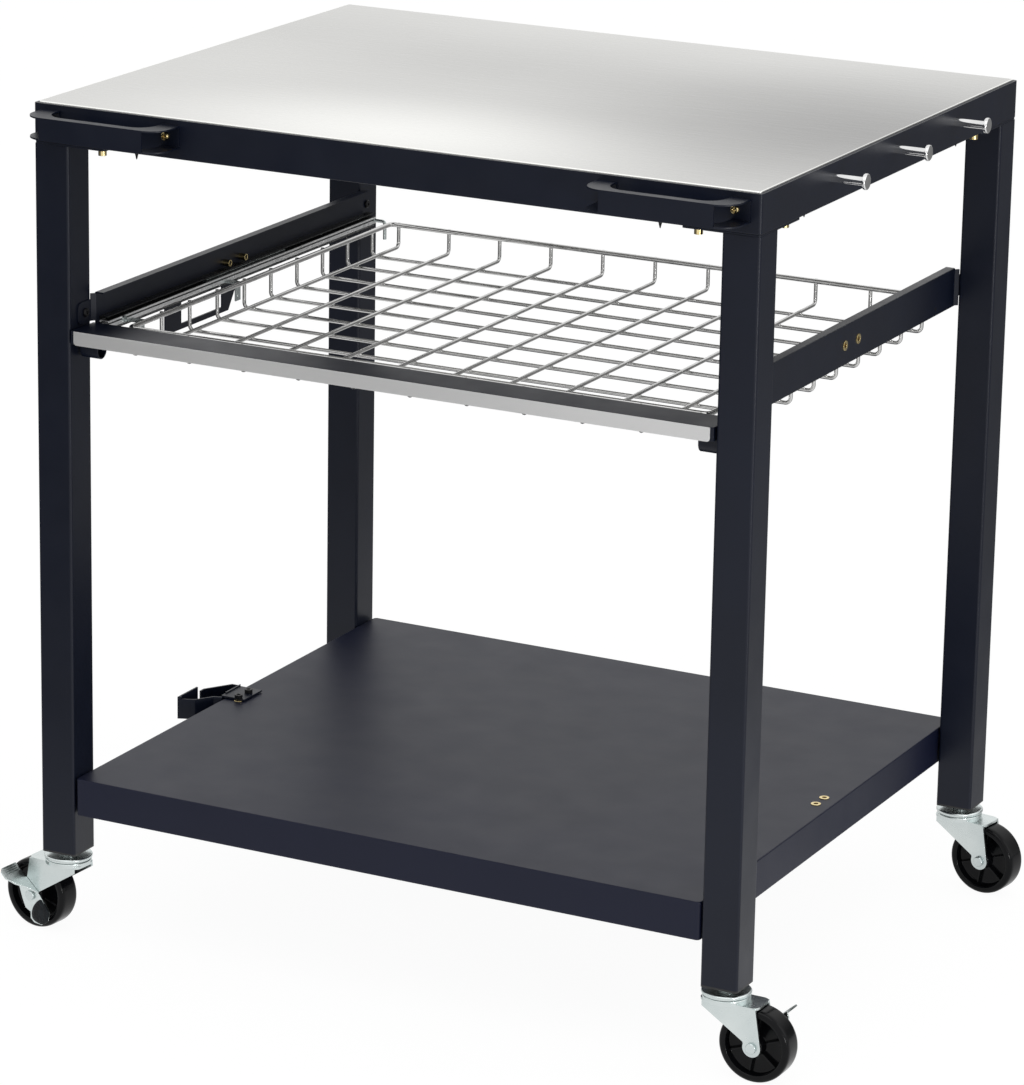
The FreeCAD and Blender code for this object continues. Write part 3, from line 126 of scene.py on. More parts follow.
def vector_math(tree, operation, *values):
    """The result of one vector sum: a length for LENGTH, otherwise a vector."""
    node = add_node(tree, "VectorMath", dict(enumerate(values)), operation=operation)
    return node.outputs["Value" if operation == "LENGTH" else "Vector"]


def split_xyz(tree, vector):
    return add_node(tree, "SeparateXYZ", {0: vector}).outputs


def new_material(name):
    """A material with one principled shader: the material, its tree and the shader."""
    material = bpy.data.materials.new(name)
    material.use_nodes = True
    tree = material.node_tree
    tree.nodes.clear()
    shader = add_node(tree, "BsdfPrincipled")
    add_node(tree, "OutputMaterial", {"Surface": shader.outputs["BSDF"]})
    return material, tree, shader


def coords(tree, stretch=(1, 1, 1)):
    """The object's own coordinates, stretched."""
    place = add_node(tree, "TexCoord").outputs["Object"]
    return add_node(tree, "Mapping", {"Vector": place, "Scale": stretch}).outputs["Vector"]


def noise(tree, vector, scale, detail=3.0, rough=0.5):
    """Noise at the vector, with scale counted per metre."""
    inputs = {"Vector": vector, "Scale": scale, "Detail": detail, "Roughness": rough}
    return add_node(tree, "TexNoise", inputs).outputs["Fac"]


def ramp(tree, value, stops):
    """Colour by value, through stops of place and colour."""
    node = add_node(tree, "ValToRGB", {"Fac": value})
    elements = node.color_ramp.elements
    while len(elements) < len(stops):
        elements.new(0.5)
    for element, (at, colour) in zip(elements, stops):
        element.position = at
        element.color = (*colour, 1)
    return node.outputs["Color"]


def spread(tree, value, low, high, start=0.3, end=0.7):
    """Takes start to low and end to high. The defaults suit a noise, which seldom leaves them."""
    inputs = {"Value": value, "From Min": start, "From Max": end, "To Min": low, "To Max": high}
    return add_node(tree, "MapRange", inputs).outputs["Result"]


def dimmed(tree, amount, least):
    """1 where amount is 0, down to least where it is 1."""
    return spread(tree, amount, 1.0, least, 0.0, 1.0)


def bump(tree, height, strength, depth):
    """The normal of a surface that rises by height times depth."""
    inputs = {"Height": height, "Strength": strength, "Distance": depth}
    return add_node(tree, "Bump", inputs).outputs["Normal"]


def pool(tree, vector, place, reach, stretch=(1, 1, 1)):
    """1 at place, fading smoothly to 0 at reach."""
    offset = vector_math(tree, "SUBTRACT", vector, place)
    away = vector_math(tree, "LENGTH", vector_math(tree, "MULTIPLY", offset, stretch))
    inputs = {"Value": away, "From Max": reach, "To Min": 1.0, "To Max": 0.0}
    return add_node(tree, "MapRange", inputs, interpolation_type="SMOOTHSTEP").outputs["Result"]


def weighted(tree, parts, start):
    """start plus each value times its weight."""
    total = start
    for value, weight in parts:
        total = math_node(tree, "MULTIPLY_ADD", value, weight, total)
    return total


def dress(tree, shader, colour, rough, normal, metallic):
    """Feeds the shader's main inputs."""
    inputs = {"Base Color": colour, "Roughness": rough, "Normal": normal, "Metallic": metallic}
    for name, value in inputs.items():
        feed(tree, shader.inputs[name], value)


# Materials
# A noise shows as drift between these two values, and the gloss drifts at a finer scale than the colour
DRIFT_LOW, DRIFT_HIGH, GLOSS_FINER = 0.32, 0.68, 2.7
PAINT_DRIFT_LOW, PAINT_DRIFT_HIGH, PAINT_GRAIN_SHARE = 0.3, 0.7, 0.35


def finish(name, dark, light, rough, metallic, drift, grain, strength, depth, specular=0.5):
    """A finish whose colour drifts between two tones, with uneven gloss and a fine surface grain."""
    material, tree, shader = new_material(name)
    v = coords(tree)
    colour = ramp(tree, noise(tree, v, drift), [(DRIFT_LOW, dark), (DRIFT_HIGH, light)])
    gloss = spread(tree, noise(tree, v, drift * GLOSS_FINER, detail=4), *rough)
    dress(tree, shader, colour, gloss, bump(tree, noise(tree, v, grain, detail=2), strength, depth), metallic)
    shader.inputs["Specular IOR Level"].default_value = specular
    return material


def paint(name, dark, light, rough, specular):
    """Powder coat: slow drift in tone, orange-peel waviness and a very fine grain."""
    material, tree, shader = new_material(name)
    v = coords(tree)
    tones = [(PAINT_DRIFT_LOW, dark), (PAINT_DRIFT_HIGH, light)]
    colour = ramp(tree, noise(tree, v, scale=9.0, detail=5), tones)
    gloss = spread(tree, noise(tree, v, scale=22.0, detail=5), *rough)
    peel = noise(tree, v, scale=420.0, detail=1)
    fine = noise(tree, v, scale=2600.0, detail=2)
    height = weighted(tree, [(fine, PAINT_GRAIN_SHARE)], peel)
    dress(tree, shader, colour, gloss, bump(tree, height, strength=0.22, depth=0.12 * MM), metallic=0.0)
    shader.inputs["Specular IOR Level"].default_value = specular
    return material


# Light and shade on the stainless top: middle, reach, stretch and weight of each soft pool
TOP_POOLS = [
    ((-0.02, -0.27), 0.34, (0.9, 1.5), 0.38),
    ((0.36, -0.02), 0.40, (1, 1), -0.42),
    ((-0.12, 0.20), 0.34, (0.6, 1.2), -0.10),
    ((-0.05, 0.33), 0.40, (0.8, 1.4), 0.12),
    ((0.02, 0.04), 0.30, (0.8, 1.2), -0.06),
]
# Start, drift and streaks of the top's tone, and the weight of the painted highlight along its rounded edge
TOP_START, TOP_DRIFT, TOP_STREAKS, TOP_EDGE_HIGHLIGHT = 0.47, 0.12, 0.05, 0.6
TOP_TONES = [(0.0, (0.18, 0.178, 0.176)), (1.0, (1.0, 0.998, 0.965))]


def edge_highlight_band(tree, vector):
    """1 on the rounded edge of the top panel, where it gets a painted highlight, 0 inside it."""
    place = split_xyz(tree, vector)
    bands = []
    for axis, half in (("X", PANEL_HALF_W), ("Y", PANEL_HALF_D)):
        away = math_node(tree, "ABSOLUTE", place[axis])
        bands.append(spread(tree, away, 0.0, 1.0, half - PANEL_EDGE, half - PANEL_EDGE * 0.5))
    return math_node(tree, "MAXIMUM", *bands)


def stainless_top():
    """Fine-brushed stainless sheet with painted soft pools of light and shade and a painted highlight along
    its rounded edge.
    """
    material, tree, shader = new_material("stainless_satin")
    v = coords(tree)
    streaks = noise(tree, coords(tree, (3.0, 260.0, 40.0)), scale=6.0, detail=4, rough=0.6)
    parts = []
    for (x, y), reach, stretch, weight in TOP_POOLS:
        parts.append((pool(tree, v, (x, y, TOP_Z), reach, (*stretch, 0)), weight))
    parts.append((noise(tree, v, scale=2.2, detail=2, rough=0.4), TOP_DRIFT))
    parts.append((streaks, TOP_STREAKS))
    parts.append((edge_highlight_band(tree, v), TOP_EDGE_HIGHLIGHT))
    colour = ramp(tree, weighted(tree, parts, TOP_START), TOP_TONES)
    normal = bump(tree, streaks, strength=0.04, depth=0.05 * MM)
    dress(tree, shader, colour, spread(tree, streaks, low=0.24, high=0.34), normal, metallic=1.0)
    return material


def brushed_strip():
    """Stainless facing strip, brushed along its length."""
    material, tree, shader = new_material("stainless_brushed")
    tones = [(0.3, (0.74, 0.74, 0.74)), (0.7, (0.88, 0.88, 0.875))]
    colour = ramp(tree, noise(tree, coords(tree), scale=3.0, detail=2), tones)
    lines = noise(tree, coords(tree, (1.0, 60.0, 900.0)), scale=5.0, detail=4, rough=0.7)
    normal = bump(tree, lines, strength=0.06, depth=0.06 * MM)
    dress(tree, shader, colour, spread(tree, lines, low=0.34, high=0.46), normal, metallic=1.0)
    return material


def caster_place(name):
    """Turns and moves a caster's wheel, built about the origin, to its place in the rest pose."""
    sx, sy = CORNER[name]
    stem = Matrix.Translation((sx * LEG_X, sy * LEG_Y, 0))
    turn = Matrix.Rotation(math.radians(HEADING[name]), 4, "Z")
    return stem @ turn @ Matrix.Translation((TRAIL, 0, AXLE_Z))


# Knurled end of a brake lever, from the middle of its wheel
TREAD_MIDDLE, TREAD_REACH = Vector((20 * MM, 29 * MM, 29 * MM)), 20 * MM
# Start and weights of the zinc's tone: two noises, and how much darker it is round each knurled end
LEVER_START, LEVER_COARSE, LEVER_FINE, LEVER_END_DARKER = 0.52, 0.30, 0.16, -0.62
LEVER_TONES = [(0.0, (0.055, 0.070, 0.068)), (0.75, (0.66, 0.72, 0.715))]


def lever_zinc():
    """Zinc that is darker round the knurled end of each brake lever."""
    material, tree, shader = new_material("lever_zinc")
    v = coords(tree)
    parts = [(noise(tree, v, scale=30.0), LEVER_COARSE), (noise(tree, v, scale=160.0), LEVER_FINE)]
    for name in BRAKED:
        parts.append((pool(tree, v, caster_place(name) @ TREAD_MIDDLE, TREAD_REACH), LEVER_END_DARKER))
    colour = ramp(tree, weighted(tree, parts, LEVER_START), LEVER_TONES)
    gloss = spread(tree, noise(tree, v, scale=90.0, detail=4), low=0.22, high=0.34)
    normal = bump(tree, noise(tree, v, scale=700.0, detail=2), strength=0.08, depth=0.05 * MM)
    dress(tree, shader, colour, gloss, normal, metallic=1.0)
    return material


# Slides, as shares of their height: painted shade at the foot, a painted highlight on the lower lip, painted
# shade in the groove, a painted highlight on the upper lip, painted shade above
GROOVE_SHADE, LIP_HIGHLIGHT = (0.016, 0.017, 0.018), (1.0, 1.0, 1.0)
SLIDE_LIGHT_BANDS = [(0.0, GROOVE_SHADE), (0.06, GROOVE_SHADE), (0.10, LIP_HIGHLIGHT), (0.47, LIP_HIGHLIGHT), (0.50, GROOVE_SHADE), (0.575, GROOVE_SHADE),
               (0.605, LIP_HIGHLIGHT), (0.70, LIP_HIGHLIGHT), (0.735, GROOVE_SHADE)]


def slide_zinc():
    """Rolled zinc slide with painted highlights along its two lips and painted shade in the groove, below and
    above.
    """
    material, tree, shader = new_material("slide_zinc")
    v = coords(tree)
    height = spread(tree, split_xyz(tree, v)["Z"], 0.0, 1.0, SLIDE_LOW, SLIDE_HIGH)
    worn = noise(tree, coords(tree, (1, 0.2, 1)), scale=90.0, detail=4)
    worn = ramp(tree, worn, [(0.3, (0.80, 0.81, 0.81)), (0.7, (1, 1, 1))])
    # Painted light and shade by height, times a random tone
    colour = vector_math(tree, "MULTIPLY", ramp(tree, height, SLIDE_LIGHT_BANDS), worn)
    gloss = spread(tree, noise(tree, v, scale=54.0, detail=4), low=0.20, high=0.32)
    normal = bump(tree, noise(tree, v, scale=1400.0, detail=2), strength=0.03, depth=0.03 * MM)
    dress(tree, shader, colour, gloss, normal, metallic=0.3)
    return material


MATS = {
    "lever_zinc": lever_zinc(),
    "stainless": stainless_top(),
    "strip": brushed_strip(),
    "frame_paint": paint("frame_powder_coat", dark=(0.0022, 0.0042, 0.0125), light=(0.0034, 0.0060, 0.0165),
                         rough=(0.34, 0.42), specular=0.30),
    "shelf_paint": paint("shelf_powder_coat", dark=(0.0032, 0.0052, 0.0200), light=(0.0044, 0.0066, 0.0235),
                         rough=(0.43, 0.47), specular=0.28),
    "bright_wire": finish("bright_wire_chrome", dark=(0.56, 0.56, 0.55), light=(0.68, 0.675, 0.67),
                          rough=(0.12, 0.20), metallic=1.0, drift=40,
                          grain=1500, strength=0.03, depth=0.03 * MM),
    "bright_zinc": finish("bright_zinc", dark=(0.57, 0.63, 0.63), light=(0.70, 0.75, 0.74),
                          rough=(0.22, 0.30), metallic=1.0, drift=16,
                          grain=1100, strength=0.03, depth=0.04 * MM),
    "slide_zinc": slide_zinc(),
    "yellow_zinc": finish("yellow_zinc", dark=(0.66, 0.50, 0.21), light=(0.92, 0.77, 0.42),
                          rough=(0.16, 0.26), metallic=1.0, drift=120,
                          grain=1400, strength=0.08, depth=0.05 * MM),
    "black_screw": finish("black_oxide", dark=(0.004, 0.004, 0.005), light=(0.009, 0.009, 0.010),
                          rough=(0.30, 0.42), metallic=0.0, drift=260,
                          grain=2200, strength=0.14, depth=0.05 * MM, specular=0.22),
    "wheel_plastic": finish("wheel_plastic", dark=(0.0026, 0.0028, 0.0036), light=(0.0042, 0.0044, 0.0054),
                            rough=(0.12, 0.20), metallic=0.0, drift=60,
                            grain=1300, strength=0.03, depth=0.04 * MM, specular=0.15),
    "gloss_black": finish("gloss_black", dark=(0.002, 0.003, 0.005), light=(0.008, 0.012, 0.016),
                          rough=(0.10, 0.20), metallic=0.0, drift=160,
                          grain=420, strength=0.75, depth=0.9 * MM, specular=0.18),
    "pin_chrome": finish("pin_chrome", dark=(0.74, 0.74, 0.74), light=(0.84, 0.84, 0.84),
                         rough=(0.08, 0.14), metallic=1.0, drift=60,
                         grain=1500, strength=0.02, depth=0.02 * MM),
    "plug_plastic": finish("plug_plastic", dark=(0.008, 0.008, 0.009), light=(0.013, 0.013, 0.014),
                           rough=(0.38, 0.5), metallic=0.0, drift=90,
                           grain=1500, strength=0.12, depth=0.06 * MM),
}
SLOT_OF = {part["node"]: part["material_slot"] for part in frame["record"]["subparts"]}
# Nodes whose finish isn't their slot's, by how their names start
OWN_FINISH = {"slide_screws": "black_screw", "brake_lever": "lever_zinc", "tool_hooks": "pin_chrome",
              "basket_front_strip": "strip", "slide_outer": "slide_zinc", "slide_inner": "slide_zinc"}


def mat_for(node):
    """The node's own finish, or its slot's."""
    for start, own in OWN_FINISH.items():
        if node.startswith(start):
            return MATS[own]
    return MATS[SLOT_OF.get(node, "frame_paint")]


for name, obj in nodes.items():
    obj.data.materials.clear()
    obj.data.materials.append(mat_for(name))


# Meshes
# In degrees: where shading breaks, which edges are eased, and below which faces count as one flat face
SHARP_ANGLE, HARD_ANGLE, FLAT_ANGLE = 35.0, 32.0, 0.6
# Vertices closer than this, in metres, are one
SAME_PLACE = 2e-6
# Steps round each bend of a wire
BEND_STEPS = 7


def finish_mesh(name, bm, material, sharp_angle=SHARP_ANGLE):
    """Turns bm into an object that is shaded smooth up to the sharp angle, in degrees."""
    mesh = bpy.data.meshes.new(name)
    bm.to_mesh(mesh)
    bm.free()
    mesh.shade_smooth()
    mesh.set_sharp_from_angle(angle=math.radians(sharp_angle))
    mesh.materials.append(material)
    obj = bpy.data.objects.new(name, mesh)
    bpy.context.scene.collection.objects.link(obj)
    return obj


def stand_for(obj, node):
    """obj takes the CAD node's place and body, and the node is hidden."""
    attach(obj, node_body[node])
    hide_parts(node)


def eased(node, width, segments=2):
    """The node's own form with its hard edges eased, as bent and cut metal has them."""
    bm = bmesh.new()
    bm.from_mesh(nodes[node].data)
    bmesh.ops.remove_doubles(bm, verts=bm.verts, dist=SAME_PLACE)
    bmesh.ops.dissolve_limit(bm, angle_limit=math.radians(FLAT_ANGLE), verts=bm.verts, edges=bm.edges)
    limit = math.radians(HARD_ANGLE)
    hard = [e for e in bm.edges if len(e.link_faces) == 2 and e.calc_face_angle(0) > limit]
    bmesh.ops.bevel(bm, geom=hard, offset=width, segments=segments, profile=0.5, affect="EDGES",
                    clamp_overlap=True)
    bmesh.ops.triangulate(bm, faces=[f for f in bm.faces if len(f.verts) > 4])
    obj = finish_mesh(node + "_shown", bm, mat_for(node))
    even = obj.modifiers.new("even_shading", "WEIGHTED_NORMAL")
    even.keep_sharp = True
    stand_for(obj, node)


def bridge(bm, rings, closed=False):
    """Faces between each ring of vertices and the next. A ring of one vertex is a point."""
    pairs = list(zip(rings, rings[1:])) + ([(rings[-1], rings[0])] if closed else [])
    for a, b in pairs:
        steps = max(len(a), len(b))
        for i in range(steps):
            j = (i + 1) % steps
            quad = [a[i % len(a)], a[j % len(a)], b[j % len(b)], b[i % len(b)]]
            face = list(dict.fromkeys(quad))
            if len(face) > 2:
                bm.faces.new(face)


def ring_round(bm, middle, u, w, radius, steps):
    """A ring of vertices about the middle, in the plane of u and w."""
    turns = [2 * math.pi * i / steps for i in range(steps)]
    return [bm.verts.new(middle + (u * math.cos(t) + w * math.sin(t)) * radius) for t in turns]


def lathe(bm, profile, origin, axis, steps, closed=False):
    """Turns (radius, along) points round the axis through origin."""
    axis = Vector(axis).normalized()
    origin = Vector(origin)
    u = axis.orthogonal().normalized()
    w = axis.cross(u)
    rings = []
    for radius, along in profile:
        middle = origin + axis * along
        rings.append(ring_round(bm, middle, u, w, radius, steps) if radius > 0 else [bm.verts.new(middle)])
    bridge(bm, rings, closed)


def rounded_block(bm, size, matrix, width):
    """A block with eased edges, added to bm."""
    made = bmesh.ops.create_cube(bm, size=1.0)["verts"]
    bmesh.ops.scale(bm, vec=size, verts=made)
    edges = list({e for v in made for e in v.link_edges})
    grown = bmesh.ops.bevel(bm, geom=edges, offset=width, segments=2, profile=0.5, affect="EDGES",
                            clamp_overlap=True)
    verts = list({v for f in grown["faces"] for v in f.verts} | {v for v in made if v.is_valid})
    bmesh.ops.transform(bm, matrix=matrix, verts=verts)


def rounded_path(points, bend):
    """The line through the points, with each corner rounded to the bend's radius."""
    points = [Vector(p) for p in points]
    path = [points[0]]
    for before, corner, after in zip(points, points[1:], points[2:]):
        way_in, way_out = (corner - before).normalized(), (after - corner).normalized()
        turn = way_in.angle(way_out)
        back = bend * math.tan(turn / 2)
        start, end = corner - way_in * back, corner + way_out * back
        centre = corner + (way_out - way_in).normalized() * (bend / math.cos(turn / 2))
        a, b = (start - centre).normalized(), (end - centre).normalized()
        for i in range(BEND_STEPS + 1):
            path.append(centre + a.slerp(b, i / BEND_STEPS) * bend)
    return path + [points[-1]]


def sweep(bm, path, radius, sides, closed=False):
    """A round wire along the path, closed into a ring or cut flat at both ends."""
    count = len(path)
    rings = []
    normal = None
    for i, at in enumerate(path):
        if closed:
            way = (path[(i + 1) % count] - path[i - 1]).normalized()
        else:
            way = (path[min(i + 1, count - 1)] - path[max(i - 1, 0)]).normalized()
        normal = (way.orthogonal() if normal is None else normal - way * normal.dot(way)).normalized()
        rings.append(ring_round(bm, at, normal, way.cross(normal), radius, sides))
    bridge(bm, rings, closed)
    if not closed:
        bm.faces.new(list(reversed(rings[0])))
        bm.faces.new(rings[-1])


def bead(bm, at, size):
    """A small weld bead: a ball squeezed to size."""
    made = bmesh.ops.create_uvsphere(bm, u_segments=10, v_segments=6, radius=1.0)["verts"]
    bmesh.ops.transform(bm, matrix=Matrix.Translation(at) @ Matrix.Diagonal((*size, 1)), verts=made)


# How far hard edges are eased, by kind of part
SHEET_EASE, SCREW_EASE, THIN_EASE = 0.35 * MM, 0.22 * MM, 0.18 * MM
FORK_EASE, AXLE_EASE, STEM_EASE = 0.9 * MM, 0.2 * MM, 0.4 * MM

# Folded and cut sheet parts
for name in ("top_frame", "leg_front_left", "leg_front_right", "leg_rear_left", "leg_rear_right", "rail_left",
             "rail_right", "handle_left", "handle_right", "upper_holder", "lower_holder", "basket_front_bar",
             "front_clip_left", "front_clip_right"):
    eased(name, SHEET_EASE)

# Basket: the rim's ring, then the long and the cross wires that hang from it
RIM_X, RIM_Y0, RIM_Y1, RIM_Z, RIM_R = 325.4 * MM, -262 * MM, 289.5 * MM, 653 * MM, 2.7 * MM
WIRE_R, WIRE_GAP, WIRE_BEND = 2 * MM, 0.1 * MM, 6 * MM
WIRE_TOP, CROSS_Z = 654.5 * MM, 622.5 * MM
LONG_Z = CROSS_Z + 2 * WIRE_R + WIRE_GAP
LONG_COUNT, LONG_PITCH = 11, 63.6
CROSS_COUNT, CROSS_PITCH, CROSS_FRONT = 9, 55.9, -191.6
LONG_X = [(i - LONG_COUNT // 2) * LONG_PITCH * MM for i in range(LONG_COUNT)]
CROSS_Y = [(CROSS_FRONT + i * CROSS_PITCH) * MM for i in range(CROSS_COUNT)]
OUT_X = RIM_X + RIM_R + WIRE_R + WIRE_GAP
OUT_Y = (RIM_Y0 - RIM_R - WIRE_R - WIRE_GAP, RIM_Y1 + RIM_R + WIRE_R + WIRE_GAP)
RIM_SIDES, WIRE_SIDES, RIM_ARC_STEPS = 16, 14, 8
# Weld beads: where two wires cross, and where a long or a cross wire meets the rim
CROSSING_BEAD = (2.1 * MM, 2.1 * MM, 1.2 * MM)
LONG_BEAD, CROSS_BEAD = (2.0 * MM, 1.1 * MM, 1.8 * MM), (1.1 * MM, 2.0 * MM, 1.8 * MM)


def rim_ring():
    """Middle line of the rim: a rectangle with round corners."""
    ring = []
    corners = ((RIM_X, RIM_Y0, 270), (RIM_X, RIM_Y1, 0), (-RIM_X, RIM_Y1, 90), (-RIM_X, RIM_Y0, 180))
    for cx, cy, start in corners:
        sx, sy = (1 if cx > 0 else -1), (1 if cy > 0 else -1)
        for i in range(RIM_ARC_STEPS + 1):
            turn = math.radians(start + 90 * i / RIM_ARC_STEPS)
            ring.append(Vector((cx - sx * WIRE_BEND + WIRE_BEND * math.cos(turn),
                                cy - sy * WIRE_BEND + WIRE_BEND * math.sin(turn), RIM_Z)))
    return ring


def basket_wires(name, node, ends, low):
    """Wires that drop from the rim's height at one end to low, cross the basket and rise again."""
    bm = bmesh.new()
    for first, last in ends:
        line = [(*first, WIRE_TOP), (*first, low), (*last, low), (*last, WIRE_TOP)]
        sweep(bm, rounded_path(line, WIRE_BEND), WIRE_R, WIRE_SIDES)
    stand_for(finish_mesh(name, bm, MATS["bright_wire"]), node)


def basket():
    """The wire basket: rim, long and cross wires, and the weld beads between them."""
    bm = bmesh.new()
    sweep(bm, rim_ring(), RIM_R, RIM_SIDES, closed=True)
    stand_for(finish_mesh("rim_wire", bm, MATS["bright_wire"]), "basket_rim")
    basket_wires("long_wires", "basket_long_wires", [((x, OUT_Y[0]), (x, OUT_Y[1])) for x in LONG_X], LONG_Z)
    basket_wires("cross_wires", "basket_cross_wires", [((-OUT_X, y), (OUT_X, y)) for y in CROSS_Y], CROSS_Z)
    bm = bmesh.new()
    for x in LONG_X:
        for y in CROSS_Y:
            bead(bm, (x, y, (CROSS_Z + LONG_Z) / 2), CROSSING_BEAD)
        for y in OUT_Y:
            inward = 1 if y < 0 else -1
            bead(bm, (x, y + inward * WIRE_R, RIM_Z), LONG_BEAD)
    for y in CROSS_Y:
        for sx in (-1, 1):
            bead(bm, (sx * (OUT_X - WIRE_R), y, RIM_Z), CROSS_BEAD)
    welds = finish_mesh("wire_welds", bm, MATS["bright_wire"], sharp_angle=60)
    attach(welds, "basket")


basket()

# Wheel: half of its section, as radius and distance from the middle plane in mm, and the ribs of its web
WHEEL_SECTION = [(5.1, -13.6), (8.9, -13.6), (9.6, -13.2), (10.0, -12.4), (10.5, -6.0), (11.1, -4.7),
                 (12.4, -4.1), (28.1, -4.1), (29.2, -4.7), (29.8, -6.0), (30.1, -11.5), (30.4, -12.3),
                 (31.1, -12.8), (32.1, -13.0), (33.6, -13.0), (35.0, -12.8), (36.2, -12.2), (37.1, -11.3),
                 (37.6, -10.2), (37.9, -8.8), (38.0, -6.5), (38.0, 0.0)]
WHEEL_STEPS = 96
WHEEL_RIBS, WHEEL_RIB_TURN = 6, -20.0
RIB_RADIUS, RIB_SIDE, RIB_SIZE, RIB_EASE = 20.0 * MM, 6.2 * MM, (21.0 * MM, 5.6 * MM, 2.0 * MM), 0.6 * MM


def put_on_caster(bm, name):
    """Moves a mesh built about the wheel's middle to its caster, with its faces turned outward."""
    bmesh.ops.transform(bm, matrix=caster_place(name), verts=bm.verts)
    bmesh.ops.recalc_face_normals(bm, faces=bm.faces)


def wheel(name):
    """A moulded wheel with a thin ribbed web between its hub and its tread."""
    section = [(r * MM, a * MM) for r, a in WHEEL_SECTION]
    section += [(r, -a) for r, a in reversed(section[:-1])]
    bm = bmesh.new()
    lathe(bm, section, (0, 0, 0), (0, 1, 0), WHEEL_STEPS, closed=True)
    for side in (-1, 1):
        for i in range(WHEEL_RIBS):
            turn = Matrix.Rotation(math.radians(360 / WHEEL_RIBS * i + WHEEL_RIB_TURN), 4, "Y")
            place = turn @ Matrix.Translation((RIB_RADIUS, side * RIB_SIDE, 0))
            rounded_block(bm, RIB_SIZE, place, RIB_EASE)
    put_on_caster(bm, name)
    moulded = finish_mesh("wheel_" + name + "_moulded", bm, MATS["wheel_plastic"], sharp_angle=40)
    stand_for(moulded, "wheel_" + name)


# Painted shade on the brake lever's lower lobe: a thin black plate standing in for the lobe's dark reflection
# and shade, with the lever's bright edge left round it: x and z in mm from the axle
LOBE_SHADE_OUTLINE = [(-13.6, -1.6), (-19.2, -8.0), (-24.6, -15.0), (-23.6, -20.2), (-22.5, -25.4), (-18.2, -28.8),
              (-13.8, -30.4), (-9.4, -29.5), (-5.0, -28.3), (-1.6, -25.6), (-0.8, -19.4), (-3.2, -12.0),
              (-8.0, -5.6)]
# Outer face of the lobe, and the dome on it: share of the outline at each height above the face
LOBE_FACE = 18.8
LOBE_DOME = ((1.0, -0.3), (1.0, 0.3), (0.97, 0.6), (0.88, 0.95), (0.66, 1.25), (0.33, 1.4))
LOBE_CUTS = (0.22, 0.5, 0.78)


def lobe_shade_plate(name):
    """A thin black domed plate on the brake lever's lobe, put there as painted shade."""
    bm = bmesh.new()
    count = len(LOBE_SHADE_OUTLINE)
    middle = Vector((sum(x for x, z in LOBE_SHADE_OUTLINE) / count, sum(z for x, z in LOBE_SHADE_OUTLINE) / count))
    outline = []
    for i in range(count):
        a, b = Vector(LOBE_SHADE_OUTLINE[i]), Vector(LOBE_SHADE_OUTLINE[(i + 1) % count])
        outline += [a.lerp(b, share) for share in LOBE_CUTS]
    rings = []
    for share, proud in LOBE_DOME:
        ring = [middle.lerp(p, share) for p in outline]
        rings.append([bm.verts.new((p.x * MM, (LOBE_FACE + proud) * MM, p.y * MM)) for p in ring])
    bridge(bm, rings)
    bm.faces.new(rings[-1])
    bm.faces.new(list(reversed(rings[0])))
    put_on_caster(bm, name)
    # A black plate where the lobe shows only dark reflection and shade
    shade_plate = finish_mesh("brake_lobe_shade_" + name, bm, MATS["gloss_black"], sharp_angle=50)
    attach(shade_plate, node_body["brake_lever_" + name])


for name in BRAKED:
    lobe_shade_plate(name)
for name in CORNER:
    wheel(name)
    eased("fork_" + name, FORK_EASE, segments=3)
    eased("axle_" + name, AXLE_EASE)
eased("caster_stems", STEM_EASE, segments=3)
for name in BRAKED:
    eased("brake_lever_" + name, SHEET_EASE)

# Tool hook: its whole section, as radius and distance out from the frame's face in mm
HOOK_SECTION = [(0.0, -9.6), (2.6, -9.6), (3.0, -9.2), (3.0, -0.05), (4.25, -0.05), (4.25, 31.8), (4.6, 32.6),
                (5.4, 33.0), (7.0, 33.1), (7.7, 33.4), (8.0, 34.1), (8.0, 35.7), (7.75, 36.4), (7.2, 36.8),
                (6.4, 36.95), (5.6, 36.8), (0.0, 36.65)]
HOOK_STEPS = 48


def hooks():
    """Three turned pins with round heads on the frame's right side."""
    bm = bmesh.new()
    for y in HOOK_Y:
        lathe(bm, [(r * MM, a * MM) for r, a in HOOK_SECTION], (HALF_W, y, HOOK_Z), (1, 0, 0), HOOK_STEPS)
    bmesh.ops.recalc_face_normals(bm, faces=bm.faces)
    stand_for(finish_mesh("hooks_turned", bm, mat_for("tool_hooks"), sharp_angle=40), "tool_hooks")


hooks()

# Fasteners, and the thin bright parts
for name in ("corner_bolts", "brace_screws", "handle_screws", "hook_nuts", "shelf_rivet_nuts",
             "rail_rivet_nuts", "rail_screws", "slide_screws", "holder_screws", "basket_screws",
             "leg_rivet_nuts", "shelf_bolts"):
    eased(name, SCREW_EASE)
for name in ("basket_front_strip", "basket_links_left", "basket_links_right", "slide_outer_left",
             "slide_outer_right", "slide_inner_left", "slide_inner_right"):
    eased(name, THIN_EASE)


# Stage, light and camera
def ray_kinds(tree):
    """Whether a ray is the camera's own, and whether it is that or a mirrored or passed one."""
    path = add_node(tree, "LightPath").outputs
    camera = path["Is Camera Ray"]
    seen = math_node(tree, "MAXIMUM", camera, path["Is Glossy Ray"])
    return camera, math_node(tree, "MAXIMUM", seen, path["Is Transmission Ray"])


